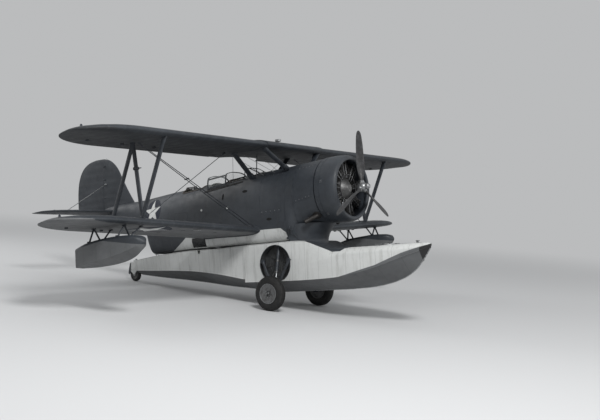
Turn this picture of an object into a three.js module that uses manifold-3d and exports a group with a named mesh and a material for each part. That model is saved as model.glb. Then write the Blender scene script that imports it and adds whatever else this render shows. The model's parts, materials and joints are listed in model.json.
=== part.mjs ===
// Amphibian float biplane, parked on its wheels. Millimetres, +X forward, +Y to port, +Z up.
// It is drawn level, with stations measured aft of the bow and heights above the straight
// part of the keel, and the whole airframe is then leaned back on its wheels.
import * as THREE from "three";
import { mergeVertices } from "three/addons/utils/BufferGeometryUtils.js";
import Module from "manifold-3d";

const wasm = await Module();
wasm.setup();

// Driving dimensions
const gap = 0.5;
const halfSpan = 5944;
const chord = 1700;
const wingThickness = 0.12;
const wingCamber = 0.025;
const incidence = THREE.MathUtils.degToRad(2.5);
const centreHalfWidth = 1050;
const strutOut = 4080;
const upperLead = { aft: 3207, z: 3200 };
const lowerLead = { aft: 3894, z: 1375 };
const lowerDihedral = 0.044;
const frontSpar = 0.09;
const rearSpar = 0.585;
const hingeLine = 0.74;
const aileron = { inner: 3050, outer: 5330 };
const wallThickness = 30;
const hubHeight = 2156;
const cowl = { front: 1780, rear: 2310, lip: 655, widest: 725, tail: 712, wall: 20 };
const propeller = { aft: 1560, radius: 1210, blades: 3 };
const mainWheel = { aft: 3450, y: 930, z: 0, radius: 373, width: 200 };
const well = { aft: 3515, z: 632, radius: 405, depth: 190 };
const tailWheel = { aft: 8408, z: 595, radius: 165, width: 90 };
const rudderHinge = 9420;
const tailplane = { z: 2240, half: 2050, lead: 8960, hinge: 9530, trail: 10090 };
const tipFloatOut = 4584;
const hingeGap = 8;

// Colours of the finishes
const paint = {
  blueGrey: { color: 0x343e48, roughness: 0.6, metalness: 0.05 },
  lightGrey: { color: 0xb9bdbd, roughness: 0.55, metalness: 0.05 },
  underGrey: { color: 0x8c9293, roughness: 0.6, metalness: 0.05 },
  steel: { color: 0x5d6163, roughness: 0.4, metalness: 0.8 },
  dark: { color: 0x1d2022, roughness: 0.6, metalness: 0.3 },
  tyre: { color: 0x161616, roughness: 0.9, metalness: 0 },
  leather: { color: 0x4a3426, roughness: 0.7, metalness: 0 },
  interior: { color: 0x5b6450, roughness: 0.7, metalness: 0 },
};

const rad = THREE.MathUtils.degToRad;
const point = (aft, y, z) => new THREE.Vector3(-aft, y, z);

// A closed mesh as a solid for joins and cuts, and back again.
function solid(geometry, matrix) {
  const bare = new THREE.BufferGeometry();
  const source = geometry.index ? geometry.toNonIndexed() : geometry;
  bare.setAttribute("position", source.getAttribute("position").clone());
  if (matrix) bare.applyMatrix4(matrix);
  const merged = mergeVertices(bare, 1e-3);
  const vertProperties = merged.attributes.position.array;
  const triVerts = new Uint32Array(merged.index.array);
  const made = new wasm.Manifold(new wasm.Mesh({ numProp: 3, vertProperties, triVerts }));
  if (made.volume() > 0) return made;
  triVerts.reverse();
  return new wasm.Manifold(new wasm.Mesh({ numProp: 3, vertProperties, triVerts }));
}

function geometryOf(made) {
  const mesh = made.getMesh();
  const geometry = new THREE.BufferGeometry();
  geometry.setAttribute("position", new THREE.BufferAttribute(mesh.vertProperties, 3));
  geometry.setIndex(new THREE.BufferAttribute(mesh.triVerts, 1));
  return geometry;
}

const join = (...parts) => parts.reduce((all, next) => all.add(next));

const biggest = (made) =>
  made.decompose().reduce((best, next) => (next.volume() > best.volume() ? next : best));

// A skin over rings of points, closed by a flat cap at each end. Each four-sided patch is split
// the opposite way to starboard, so that both sides are mirror images.
function loft(rings) {
  const count = rings[0].length;
  const position = rings.flat().flatMap((p) => [p.x, p.y, p.z]);
  const index = [];
  for (let r = 0; r + 1 < rings.length; r += 1) {
    for (let i = 0; i < count; i += 1) {
      const a = r * count + i;
      const b = r * count + ((i + 1) % count);
      if (rings[r][i].y + rings[r][(i + 1) % count].y > 0)
        index.push(a, b, b + count, a, b + count, a + count);
      else index.push(a, b, a + count, b, b + count, a + count);
    }
  }
  for (const end of [0, rings.length - 1]) {
    const ring = rings[end];
    const centre = ring.reduce((sum, p) => sum.add(p), new THREE.Vector3()).divideScalar(count);
    const middle = position.length / 3;
    position.push(centre.x, centre.y, centre.z);
    for (let i = 0; i < count; i += 1) {
      const a = end * count + i;
      const b = end * count + ((i + 1) % count);
      index.push(...(end === 0 ? [b, a, middle] : [a, b, middle]));
    }
  }
  const geometry = new THREE.BufferGeometry();
  geometry.setAttribute("position", new THREE.Float32BufferAttribute(position, 3));
  geometry.setIndex(index);
  return geometry;
}

// A straight bar of a rounded section between two points, its long side near the given direction.
function bar(from, to, wide, thick, along = new THREE.Vector3(1, 0, 0), sides = 10) {
  const way = to.clone().sub(from).normalize();
  const across = new THREE.Vector3().crossVectors(way, along).normalize();
  const fore = new THREE.Vector3().crossVectors(across, way).normalize();
  const ring = (at) =>
    Array.from({ length: sides }, (_, i) => {
      const turn = (i / sides) * Math.PI * 2;
      return at
        .clone()
        .addScaledVector(fore, (Math.cos(turn) * wide) / 2)
        .addScaledVector(across, (Math.sin(turn) * thick) / 2);
    });
  return solid(loft([ring(from), ring(to)]));
}

const rod = (from, to, diameter, sides = 8) =>
  bar(from, to, diameter, diameter, new THREE.Vector3(0.31, 0.77, 0.55), sides);

function box(aft, y, z, fore, left, up) {
  const size = new THREE.BoxGeometry(fore[1] - fore[0], left[1] - left[0], up[1] - up[0]);
  const centre = point(
    aft - (fore[0] + fore[1]) / 2,
    y + (left[0] + left[1]) / 2,
    z + (up[0] + up[1]) / 2,
  );
  return solid(size, new THREE.Matrix4().makeTranslation(centre));
}

// A solid turned from a profile of [radius, distance] pairs about a line through a point.
function turned(profile, at, axis, segments = 24) {
  const outline = profile.map(([r, d]) => new THREE.Vector2(r, d));
  const lathe = new THREE.LatheGeometry(outline, segments);
  const turn = new THREE.Quaternion().setFromUnitVectors(new THREE.Vector3(0, 1, 0), axis);
  return solid(lathe, new THREE.Matrix4().compose(at, turn, new THREE.Vector3(1, 1, 1)));
}

// A flat outline of [aft, z] pairs, pushed out along Y between two distances.
function slab(outline, yLow, yHigh) {
  const shape = new THREE.Shape(outline.map(([aft, z]) => new THREE.Vector2(-aft, z)));
  const plate = new THREE.ExtrudeGeometry(shape, { depth: yHigh - yLow, bevelEnabled: false });
  plate.rotateX(Math.PI / 2);
  plate.translate(0, yHigh, 0);
  return solid(plate);
}

const airframe = new THREE.Group();

function place(name, finish, made, parent = airframe) {
  const mesh = new THREE.Mesh(geometryOf(made), new THREE.MeshStandardMaterial(paint[finish]));
  mesh.name = name;
  parent.add(mesh);
  return mesh;
}

const sides = [
  { name: "left", sign: 1 },
  { name: "right", sign: -1 },
];

const mirrored = (made, sign) => (sign > 0 ? made : made.mirror([0, 1, 0]));

// Hull of the main float. Its side has a knee, above which it leans in to the deck: forward that
// gives a round shoulder, and behind the bow it runs up to the fuselage.
const hullStations = [
  // aft, keel z, chine y, chine z, knee y, knee z, deck y, deck z, crown
  [0, 790, 25, 812, 32, 835, 26, 862, 4],
  [70, 690, 105, 772, 120, 818, 92, 864, 10],
  [150, 585, 175, 732, 203, 800, 160, 865, 14],
  [390, 330, 325, 648, 350, 788, 280, 864, 22],
  [700, 165, 440, 545, 455, 780, 370, 860, 26],
  [1160, 55, 545, 412, 545, 776, 450, 858, 26],
  [1570, 15, 590, 330, 585, 760, 490, 862, 24],
  [2050, 0, 613, 275, 606, 705, 524, 870, 20],
  [2400, 0, 618, 262, 613, 635, 562, 970, -56],
  [2720, 0, 620, 257, 618, 575, 592, 1082, 0],
  [3080, 0, 620, 255, 620, 520, 610, 1100, 0],
  [4380, 5, 620, 268, 619, 620, 610, 1086, 0],
  [4384, 82, 616, 336, 617, 640, 610, 1086, 0],
  [5280, 192, 575, 500, 584, 760, 590, 1062, 12],
  [6000, 303, 520, 590, 540, 810, 555, 1066, 14],
  [6800, 408, 435, 640, 460, 830, 480, 1040, 14],
  [7500, 493, 335, 668, 358, 830, 375, 1000, 12],
  [8180, 590, 215, 700, 228, 820, 235, 945, 10],
];
const deckEdge = 26;

function hullRing([aft, keel, chineY, chineZ, kneeY, kneeZ, deckY, deckZ, crown]) {
  const edge = Math.min(deckEdge, (deckZ - kneeZ) / 2);
  const half = [
    [chineY * 0.5, keel + (chineZ - keel) * 0.44],
    [chineY, chineZ],
    [kneeY, kneeZ],
    [deckY, deckZ - edge],
    [deckY - Math.min(edge, deckY / 2), deckZ],
  ];
  const port = half.map(([y, z]) => point(aft, y, z));
  const starboard = half.map(([y, z]) => point(aft, -y, z));
  return [point(aft, 0, keel), ...port, point(aft, 0, deckZ + crown), ...starboard.reverse()];
}

const hullSolid = solid(loft(hullStations.map(hullRing)));
const wells = sides.map(({ sign }) =>
  turned(
    [
      [0, 0],
      [well.radius, 0],
      [well.radius, well.depth + 60],
      [0, well.depth + 60],
    ],
    point(well.aft, sign * (620 - well.depth), well.z),
    new THREE.Vector3(0, sign, 0),
    36,
  ),
);

// Fuselage: rings that are round on top and square below, where the side runs down to the float
const bodyStations = [
  // aft, half width, top z, bottom z, squareness above, squareness below
  [2340, 700, 2856, 1456, 2.0, 2.0],
  [2600, 694, 2836, 1400, 2.1, 2.1],
  [2900, 680, 2812, 1290, 2.2, 2.4],
  [3150, 662, 2790, 1104, 2.3, 5.0],
  [4200, 605, 2722, 1096, 2.4, 7.0],
  [5100, 565, 2648, 1086, 2.4, 8.0],
  [6000, 522, 2585, 1094, 2.3, 8.0],
  [6700, 470, 2545, 1080, 2.2, 6.0],
  [7250, 415, 2500, 1052, 2.2, 4.0],
];
const coneStations = [
  [7250.6, 415, 2500, 1052, 2.2, 4.0],
  [7560, 372, 2470, 1060, 2.2, 3.4],
  [7640, 362, 2462, 1300, 2.2, 2.6],
  [7800, 345, 2445, 1590, 2.1, 2.1],
  [8500, 262, 2420, 1800, 2.1, 2.1],
  [9100, 150, 2398, 1960, 2.1, 2.1],
  [9336, 92, 2389, 2020, 2.1, 2.1],
];
const bodyPoints = 32;

function bodyRing([aft, half, top, bottom, above, below], inset = 0) {
  const middle = bottom + (top - bottom) * 0.52;
  return Array.from({ length: bodyPoints }, (_, i) => {
    const turn = (i / bodyPoints) * Math.PI * 2;
    const c = Math.cos(turn);
    const s = Math.sin(turn);
    const square = s > 0 ? above : below;
    const tall = (s > 0 ? top - middle : middle - bottom) - inset;
    const y = (half - inset) * Math.sign(c) * Math.abs(c) ** (2 / square);
    const z = middle + tall * Math.sign(s) * Math.abs(s) ** (2 / square);
    return point(aft, y, z);
  });
}

const between = (stations, at) => {
  const next = stations.findIndex((row) => row[0] >= at);
  const low = stations[Math.max(0, next - 1)];
  const high = stations[next];
  const share = high[0] === low[0] ? 0 : (at - low[0]) / (high[0] - low[0]);
  return low.map((value, i) => value + (high[i] - value) * share);
};
const part = (stations, from, to) => [
  between(stations, from),
  ...stations.filter(([aft]) => aft > from + 1 && aft < to - 1),
  between(stations, to),
];
const skin = (stations, inset) => solid(loft(stations.map((row) => bodyRing(row, inset))));

const firewall = 3150;
const [endAft, ...endSize] = coneStations.at(-1);
const wholeBody = skin(
  [...bodyStations, ...coneStations.slice(1, -1), [endAft + 2 * gap, ...endSize]],
  -2 * gap,
);
const cabinSkin = skin(part(bodyStations, firewall + gap, 7250), 0);
const cabinRoom = skin(part(bodyStations, firewall + 40, 6900), wallThickness);

const openings = [
  // fore, aft, half width
  [4455, 4945, 340],
  [4985, 5525, 335],
  [5780, 6430, 300],
].map(([fore, aft, half]) => box(aft, 0, 2300, [0, aft - fore], [-half, half], [0, 700]));
const windowSize = { fore: 5560, aft: 6003, low: 1125, high: 1350 };
const windows = box(
  windowSize.aft,
  0,
  0,
  [0, windowSize.aft - windowSize.fore],
  [-900, 900],
  [windowSize.low, windowSize.high],
);

place("float_hull", "lightGrey", hullSolid.subtract(join(...wells)));
const deckCut = hullSolid.translate([0, 0, gap]);
// The pylon under the engine is a round-nosed prow, hollowed where it meets the cowl and the deck.
const prowLevels = [
  // z, nose aft
  [840, 2250],
  [900, 2380],
  [980, 2530],
  [1090, 2605],
  [1200, 2570],
  [1330, 2470],
  [1470, 2345],
];
const prowRing = ([z, nose]) => {
  const wide = 560 + ((z - 840) / 630) * 20;
  const back = firewall;
  const half = Array.from({ length: 9 }, (_, i) => {
    const turn = (i / 8) * (Math.PI / 2);
    return [back - (back - nose) * Math.cos(turn), wide * Math.sin(turn)];
  });
  const port = half.map(([aft, y]) => point(aft, y, z));
  return [...port, ...half.slice(1).reverse().map(([aft, y]) => point(aft, -y, z))];
};
const prow = solid(loft(prowLevels.map(prowRing)));
const noseBody = skin(part(bodyStations, 2340, firewall), 0);
place("forward_fuselage", "blueGrey", biggest(noseBody.add(prow).subtract(deckCut)));
place(
  "cabin_shell",
  "blueGrey",
  biggest(cabinSkin.subtract(join(cabinRoom, deckCut, ...openings, windows))),
);
place("tail_cone", "blueGrey", skin(coneStations, 0));

// Cockpit floor, seats and instrument panel, inside the cabin walls
place("cockpit_floor", "interior", box(6700, 0, 1760, [0, 2350], [-380, 380], [0, 25]));
place("instrument_panel", "dark", box(4420, 0, 2150, [0, 24], [-330, 330], [0, 300]));
const seatRows = [
  { name: "pilot_seat", aft: 4920 },
  { name: "observer_seat", aft: 6360 },
];
for (const { name, aft } of seatRows) {
  const pan = box(aft, 0, 2020, [0, 400], [-200, 200], [0, 40]);
  const back = box(aft, 0, 2020, [0, 40], [-200, 200], [0, 430]);
  const post = box(aft, 0, 1785 + gap, [120, 280], [-60, 60], [0, 240]);
  place(name, "leather", join(pan, back, post));
}

// Engine and its cowl
const forward = new THREE.Vector3(1, 0, 0);
const crankcase = turned(
  [
    [0, -260],
    [250, -260],
    [250, 40],
    [215, 90],
    [120, 170],
    [75, 200],
    [0, 200],
  ],
  point(2060, 0, hubHeight),
  forward,
  24,
);
const cylinderProfile = [
  // radius, distance from the crankshaft
  [0, 190],
  [80, 190],
  [80, 330],
  [104, 330],
  [104, 356],
  [84, 356],
  [84, 400],
  [106, 400],
  [106, 426],
  [84, 426],
  [84, 472],
  [110, 472],
  [110, 590],
  [74, 640],
  [0, 640],
];
const cylinders = Array.from({ length: 9 }, (_, i) => {
  const turn = (i / 9) * Math.PI * 2;
  const way = new THREE.Vector3(0, Math.sin(turn), Math.cos(turn));
  return turned(cylinderProfile, point(2070, 0, hubHeight), way, 8);
});
place("engine", "steel", join(crankcase, ...cylinders));

const cowlLong = cowl.rear - cowl.front;
const cowlProfile = [
  // radius, distance ahead of the rear edge
  [cowl.lip - 45, cowlLong - 60],
  [cowl.lip - 48, cowlLong - 25],
  [cowl.lip - 30, cowlLong - 4],
  [cowl.lip, cowlLong],
  [cowl.lip + 32, cowlLong - 20],
  [cowl.lip + 54, cowlLong - 70],
  [cowl.widest - 3, cowlLong - 150],
  [cowl.widest, cowlLong - 250],
  [cowl.tail, 0],
  [cowl.tail - cowl.wall, 0],
  [cowl.widest - cowl.wall, cowlLong - 250],
  [cowl.widest - cowl.wall - 6, cowlLong - 150],
  [cowl.lip - 45, cowlLong - 60],
];
place("engine_cowl", "blueGrey", turned(cowlProfile, point(cowl.rear, 0, hubHeight), forward, 48));

// Propeller: a domed hub and three twisted blades
const hub = turned(
  [
    [0, -120],
    [60, -120],
    [92, -80],
    [92, 60],
    [70, 110],
    [52, 190],
    [0, 205],
  ],
  point(propeller.aft, 0, hubHeight),
  forward,
  20,
);
const bladeStations = [
  // share of the radius, chord, thickness, twist in degrees
  [0.045, 88, 84, 50],
  [0.14, 92, 76, 50],
  [0.25, 138, 44, 44],
  [0.46, 190, 26, 32],
  [0.7, 184, 18, 24],
  [0.89, 150, 13, 20],
  [0.97, 98, 10, 19],
  [1, 32, 6, 18],
];
function blade(turn) {
  const rings = bladeStations.map(([share, wide, thick, twist]) =>
    Array.from({ length: 12 }, (_, i) => {
      const a = (i / 12) * Math.PI * 2;
      const u = (Math.cos(a) * wide) / 2;
      const v = (Math.sin(a) * thick) / 2;
      const t = rad(twist);
      const x = v * Math.cos(t) + u * Math.sin(t);
      const y = u * Math.cos(t) - v * Math.sin(t);
      return new THREE.Vector3(x, y, share * propeller.radius);
    }),
  );
  const spin = new THREE.Matrix4().makeRotationX(turn);
  spin.setPosition(point(propeller.aft, 0, hubHeight));
  return solid(loft(rings), spin);
}
const blades = Array.from({ length: propeller.blades }, (_, i) =>
  blade((i / propeller.blades) * Math.PI * 2),
);
place("propeller", "dark", join(hub, ...blades));

// Wings. A panel is lofted along its span in its own frame: leading edge at the origin.
const sectionSteps = [0, 0.012, 0.05, 0.12, 0.22, 0.36, 0.52, 0.7, 0.86, 1];
const camberAt = (t) => wingCamber * 4 * t * (1 - t);
// Half the thickness of a section at a share of its chord, for a greatest thickness of 1
const foil = (t, tail = 0.098) =>
  5 * (0.2969 * Math.sqrt(t) - 0.126 * t - 0.3516 * t * t + 0.2843 * t ** 3 - tail * t ** 4);
function section(lead, trail, y, z, thin = 1) {
  const long = trail - lead;
  const curve = (t, side) => camberAt(t) + side * foil(t) * wingThickness * thin;
  const upper = sectionSteps.map((t) => [t, curve(t, 1)]);
  const lower = sectionSteps.slice(1).map((t) => [t, curve(t, -1)]);
  return [...upper, ...lower.reverse()].map(([t, h]) => {
    const back = lead + t * long;
    return new THREE.Vector3(
      -back * Math.cos(incidence) + h * long * Math.sin(incidence),
      y,
      z - back * Math.sin(incidence) + h * long * Math.cos(incidence),
    );
  });
}

// Plan of the round tip: the leading edge turns over a shorter stretch than the trailing edge.
const tip = { frontRun: 1190, rearRun: 1520, waist: 0.42 };
function tipPlan(y) {
  const share = (run) => Math.sqrt(Math.max(0, 1 - Math.max(0, (y - halfSpan + run) / run) ** 2));
  const waist = tip.waist * chord;
  return [waist - waist * share(tip.frontRun), waist + (chord - waist) * share(tip.rearRun)];
}
const tipSpans = [4300, 4800, 5150, 5400, 5600, 5750, 5850, 5910, 5938];
function panel(rootY) {
  const spans = [rootY, halfSpan - tip.rearRun, ...tipSpans.filter((y) => y > halfSpan - tip.rearRun)];
  const rings = spans.map((y) => {
    const [lead, trail] = tipPlan(y);
    return section(lead, trail, y, 0);
  });
  return solid(loft(rings));
}

// A hinged surface's zone: everything behind its hinge, and a round nose about it. The surface
// ahead is cut back by the same zone grown, so that the nose turns in its cove.
function hingeZone(back, high, noseRadius, ends, grow) {
  const radius = noseRadius + grow;
  const nose = Array.from({ length: 9 }, (_, i) => {
    const turn = Math.PI / 2 + (i / 8) * Math.PI;
    return [back + radius * Math.cos(turn), high + radius * Math.sin(turn)];
  });
  const tall = 300;
  const far = back + 1400;
  const outline = [[back, high + tall], ...nose, [back, high - tall], [far, high - tall], [far, high + tall]];
  return slab(outline, ends[0] - grow, ends[1] + grow);
}

const hingeBack = hingeLine * chord;
const hingeHigh = -hingeBack * Math.sin(incidence) + camberAt(hingeLine) * chord;
const aileronZone = (grow) => hingeZone(hingeBack, hingeHigh, 57, [aileron.inner, aileron.outer], grow);

const centreSolid = () => {
  const ys = [-centreHalfWidth, 0, centreHalfWidth];
  const whole = solid(loft(ys.map((y) => section(-12, chord, y, 8, 1.12))));
  const bite = turned(
    [
      [0, -400],
      [760, -400],
      [760, 400],
      [0, 400],
    ],
    new THREE.Vector3(-chord - 380, 0, 0),
    new THREE.Vector3(0, 0, 1),
    40,
  );
  return whole.subtract(bite);
};

const wingAt = ({ aft, z }, dihedral = 0, sign = 1) => {
  const group = new THREE.Group();
  group.position.copy(point(aft, 0, z));
  group.rotation.x = dihedral * sign;
  airframe.add(group);
  return group;
};

const upperGroup = wingAt(upperLead);
place("upper_wing_centre", "blueGrey", centreSolid(), upperGroup);
const fitted = (made, dihedral) => {
  const out = new THREE.Matrix4().makeRotationX(dihedral);
  out.setPosition(point(lowerLead.aft, 0, lowerLead.z));
  const back = out.clone().invert().elements;
  return made.subtract(wholeBody.transform([...back]));
};
for (const { name, sign } of sides) {
  const upper = panel(centreHalfWidth + gap);
  place(`upper_wing_${name}`, "blueGrey", mirrored(upper.subtract(aileronZone(hingeGap)), sign), upperGroup);
  place(`upper_aileron_${name}`, "blueGrey", mirrored(upper.intersect(aileronZone(0)), sign), upperGroup);
  const lowerGroup = wingAt(lowerLead, lowerDihedral, sign);
  const lower = fitted(panel(300), lowerDihedral);
  place(`lower_wing_${name}`, "blueGrey", mirrored(lower.subtract(aileronZone(hingeGap)), sign), lowerGroup);
  place(`lower_aileron_${name}`, "blueGrey", mirrored(lower.intersect(aileronZone(0)), sign), lowerGroup);
}

// Heights on the wings' skins, at a share of the chord and a distance out
function onWing(lead, t, y, side, dihedral = 0, off = 0) {
  const h = (camberAt(t) + side * foil(t) * wingThickness) * chord + side * off;
  const x = -t * chord * Math.cos(incidence) + h * Math.sin(incidence);
  const z = -t * chord * Math.sin(incidence) + h * Math.cos(incidence);
  return new THREE.Vector3(
    -lead.aft + x,
    y * Math.cos(dihedral) - z * Math.sin(dihedral),
    lead.z + y * Math.sin(dihedral) + z * Math.cos(dihedral),
  );
}
const underUpper = (t, y) => onWing(upperLead, t, y, -1, 0, 1);
const overLower = (t, y) => onWing(lowerLead, t, y, 1, lowerDihedral, 1);
const underLower = (t, y) => onWing(lowerLead, t, y, -1, lowerDihedral, 1);

// What stands between the wings. A strut starts inside each wing and is trimmed at its skin.
const lengthen = (from, to, by) => {
  const way = to.clone().sub(from).normalize().multiplyScalar(by);
  return [from.clone().sub(way), to.clone().add(way)];
};
const wingSolids = (() => {
  const upper = join(panel(centreHalfWidth - 1), centreSolid()).translate([-upperLead.aft, 0, upperLead.z]);
  const out = new THREE.Matrix4().makeRotationX(lowerDihedral);
  out.setPosition(point(lowerLead.aft, 0, lowerLead.z));
  return { upper, lower: panel(300).transform([...out.elements]) };
})();
const grown = (made, by) =>
  join(made, made.translate([0, 0, by]), made.translate([0, 0, -by]));
const trimmers = join(grown(wingSolids.upper, 0.4), grown(wingSolids.lower, 0.4), wholeBody);
const trimmed = (made) => biggest(made.subtract(trimmers));

const strutTops = { front: underUpper(frontSpar, strutOut), rear: underUpper(rearSpar, strutOut) };
const strutFeet = { front: overLower(frontSpar, strutOut), rear: overLower(rearSpar, strutOut) };
const nLines = [
  [strutFeet.front, strutTops.front],
  [strutFeet.rear, strutTops.rear],
  [strutFeet.front, strutTops.rear],
];
const nStrut = () => {
  const bars = nLines.map(([foot, top]) => bar(...lengthen(foot, top, 40), 92, 44));
  const feet = [strutFeet.front, strutFeet.rear, strutTops.front, strutTops.rear];
  const lugs = feet.map((p) => bar(p.clone().setZ(p.z - 45), p.clone().setZ(p.z + 45), 130, 60));
  const tie = bar(
    strutFeet.front.clone().setZ(strutFeet.front.z + 30),
    strutFeet.rear.clone().setZ(strutFeet.rear.z + 30),
    14,
    14,
  );
  return trimmed(join(...bars, ...lugs, tie));
};

const cabaneOut = 1000;
const cabaneFoot = { front: point(3200, 430, 2700), rear: point(4190, 400, 2600) };
const cabane = (foot, share) =>
  trimmed(bar(...lengthen(foot, underUpper(share, cabaneOut), 60), 150, 50));

// Wires run from skin to skin, each with its end fittings.
const wireEnds = [
  { name: "flying_wire_front", from: point(3985, 560, 1410), to: underUpper(0.54, strutOut - 90) },
  { name: "flying_wire_rear", from: point(4115, 560, 1410), to: underUpper(0.6, strutOut - 190) },
  { name: "landing_wire", from: underUpper(rearSpar, 1300), to: overLower(frontSpar + 0.04, strutOut - 120) },
];
function wire({ from, to }) {
  const line = rod(...lengthen(from, to, 25), 11, 6);
  const ends = [from, to].map((p, i) => {
    const way = (i ? from : to).clone().sub(p).normalize();
    return rod(p.clone().addScaledVector(way, -25), p.clone().addScaledVector(way, 110), 24, 8);
  });
  return trimmed(join(line, ...ends));
}

// Small floats under the lower wings, each on two frames of three struts
const tipStations = [
  // aft, keel z, half width, chine z, top half width, top z
  [3503, 1130, 20, 1145, 26, 1180],
  [3580, 1010, 110, 1090, 120, 1252],
  [3750, 890, 180, 1020, 185, 1292],
  [4050, 800, 222, 940, 215, 1302],
  [4450, 752, 235, 875, 225, 1280],
  [4900, 733, 215, 800, 210, 1222],
  [5200, 733, 192, 752, 188, 1140],
];
const tipRing = ([aft, keel, chineY, chineZ, topY, topZ]) => {
  const half = [
    [chineY, chineZ],
    [topY * 1.02, topZ - 50],
    [topY * 0.82, topZ - 14],
    [topY * 0.3, topZ],
  ];
  const near = half.map(([y, z]) => point(aft, tipFloatOut + y, z));
  const far = half.map(([y, z]) => point(aft, tipFloatOut - y, z));
  return [point(aft, tipFloatOut, keel), ...near, ...far.reverse()];
};
const tipSolid = solid(loft(tipStations.map(tipRing)));
const floatFeet = { inner: tipFloatOut - 165, outer: tipFloatOut + 150 };
const floatTops = { inner: tipFloatOut - 474, outer: tipFloatOut - 29 };
const floatFrames = [
  { aft: 4060, deck: 1275, share: frontSpar },
  { aft: 4840, deck: 1205, share: rearSpar },
];
const floatStruts = () => {
  const bars = floatFrames.flatMap(({ aft, deck, share }) =>
    [
      ["outer", "outer"],
      ["inner", "outer"],
      ["inner", "inner"],
    ].map(([foot, top]) => {
      const ends = [point(aft, floatFeet[foot], deck), underLower(share, floatTops[top])];
      return bar(...lengthen(...ends, 40), 46, 28, undefined, 8);
    }),
  );
  const [front, rear] = floatFrames.map(({ aft, deck }) => point(aft, floatFeet.inner, deck + 12));
  const rail = bar(...lengthen(front, rear, 40), 40, 26);
  return biggest(join(...bars, rail).subtract(join(trimmers, grown(tipSolid, 0.4))));
};

// Tail: fin and rudder share one outline, split at the hinge
const finStations = [
  // z, lead aft, trail aft, thickness
  [2040, 8080, 10250, 120],
  [2250, 8210, 10400, 150],
  [2430, 8335, 10432, 140],
  [2760, 8550, 10422, 128],
  [3070, 8725, 10380, 112],
  [3300, 8850, 10290, 98],
  [3430, 8950, 10195, 86],
  [3540, 9080, 10050, 68],
  [3610, 9215, 9870, 48],
  [3645, 9370, 9680, 26],
];
const finRing = ([z, lead, trail, thick]) => {
  const long = trail - lead;
  const half = (t) => thick * foil(t, 0.1);
  const near = sectionSteps.map((t) => point(lead + t * long, half(t), z));
  const far = sectionSteps.slice(1).map((t) => point(lead + t * long, -half(t), z));
  return [...near, ...far.reverse()];
};
const finSolid = solid(loft(finStations.map(finRing)));
// The rudder's zone is the same form, stood on end.
const rudderZone = (grow) => hingeZone(rudderHinge, 0, 66, [1500, 3900], grow).rotate([90, 0, 0]);
const finBase = box(rudderHinge, 0, 0, [0, 1900], [-400, 400], [0, 2300]);
place("fin", "blueGrey", biggest(finSolid.subtract(join(rudderZone(hingeGap), wholeBody, finBase))));
place("rudder", "blueGrey", finSolid.intersect(rudderZone(0)));

// Tailplane: both halves are one piece through the tail, with the elevators behind it
const stabStations = [
  // y, lead aft, trail aft, thickness
  [0, tailplane.lead - 60, tailplane.trail, 120],
  [700, tailplane.lead, tailplane.trail, 112],
  [1400, tailplane.lead + 70, tailplane.trail - 10, 96],
  [1800, tailplane.lead + 170, tailplane.trail - 70, 76],
  [1980, tailplane.lead + 300, tailplane.trail - 190, 54],
  [tailplane.half, tailplane.lead + 450, tailplane.trail - 380, 26],
];
const stabRing = ([y, lead, trail, thick]) => {
  const long = trail - lead;
  const half = (t) => thick * foil(t, 0.1);
  const upper = sectionSteps.map((t) => point(lead + t * long, y, tailplane.z + half(t)));
  const lower = sectionSteps.slice(1).map((t) => point(lead + t * long, y, tailplane.z - half(t)));
  return [...upper, ...lower.reverse()];
};
const stabHalf = solid(loft(stabStations.map(stabRing)));
const elevatorZone = (grow) => hingeZone(tailplane.hinge, tailplane.z, 54, [-10, 2200], grow);
// The elevators' inner ends slant outwards, to leave the rudder its swing.
const rudderSwing = { start: 9337, slope: 0.56, root: 84 };
const swingShape = new THREE.Shape([
  new THREE.Vector2(-rudderSwing.start, -50),
  new THREE.Vector2(-10600, -50),
  new THREE.Vector2(-10600, rudderSwing.root + (10600 - rudderSwing.start) * rudderSwing.slope),
  new THREE.Vector2(-rudderSwing.start, rudderSwing.root),
]);
const swingPrism = new THREE.ExtrudeGeometry(swingShape, { depth: 600, bevelEnabled: false });
swingPrism.translate(0, 0, 1950);
const swingCut = solid(swingPrism);
for (const { name, sign } of sides) {
  const front = biggest(stabHalf.subtract(join(elevatorZone(hingeGap), wholeBody, swingCut)));
  place(`tailplane_${name}`, "blueGrey", mirrored(front, sign));
  const rear = stabHalf.intersect(elevatorZone(0)).subtract(swingCut);
  place(`elevator_${name}`, "blueGrey", mirrored(rear, sign));
}

// Struts and wires, mirrored side to side
const finSide = point(9300, 30, 2990);
const tailBrace = () => {
  const foot = point(9350, 1330, tailplane.z + 40);
  const made = rod(...lengthen(finSide, foot, 40), 26, 8);
  return biggest(made.subtract(join(grown(stabHalf, 0.4), finSolid)));
};
for (const { name, sign } of sides) {
  const add = (label, finish, made) => place(`${label}_${name}`, finish, mirrored(made, sign));
  add("wing_strut", "blueGrey", nStrut());
  add("cabane_front", "blueGrey", cabane(cabaneFoot.front, frontSpar));
  add("cabane_rear", "blueGrey", cabane(cabaneFoot.rear, rearSpar));
  for (const line of wireEnds) add(line.name, "steel", wire(line));
  add("tip_float", "underGrey", tipSolid);
  add("tip_float_struts", "blueGrey", floatStruts());
  add("tail_brace", "steel", tailBrace());
}

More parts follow.
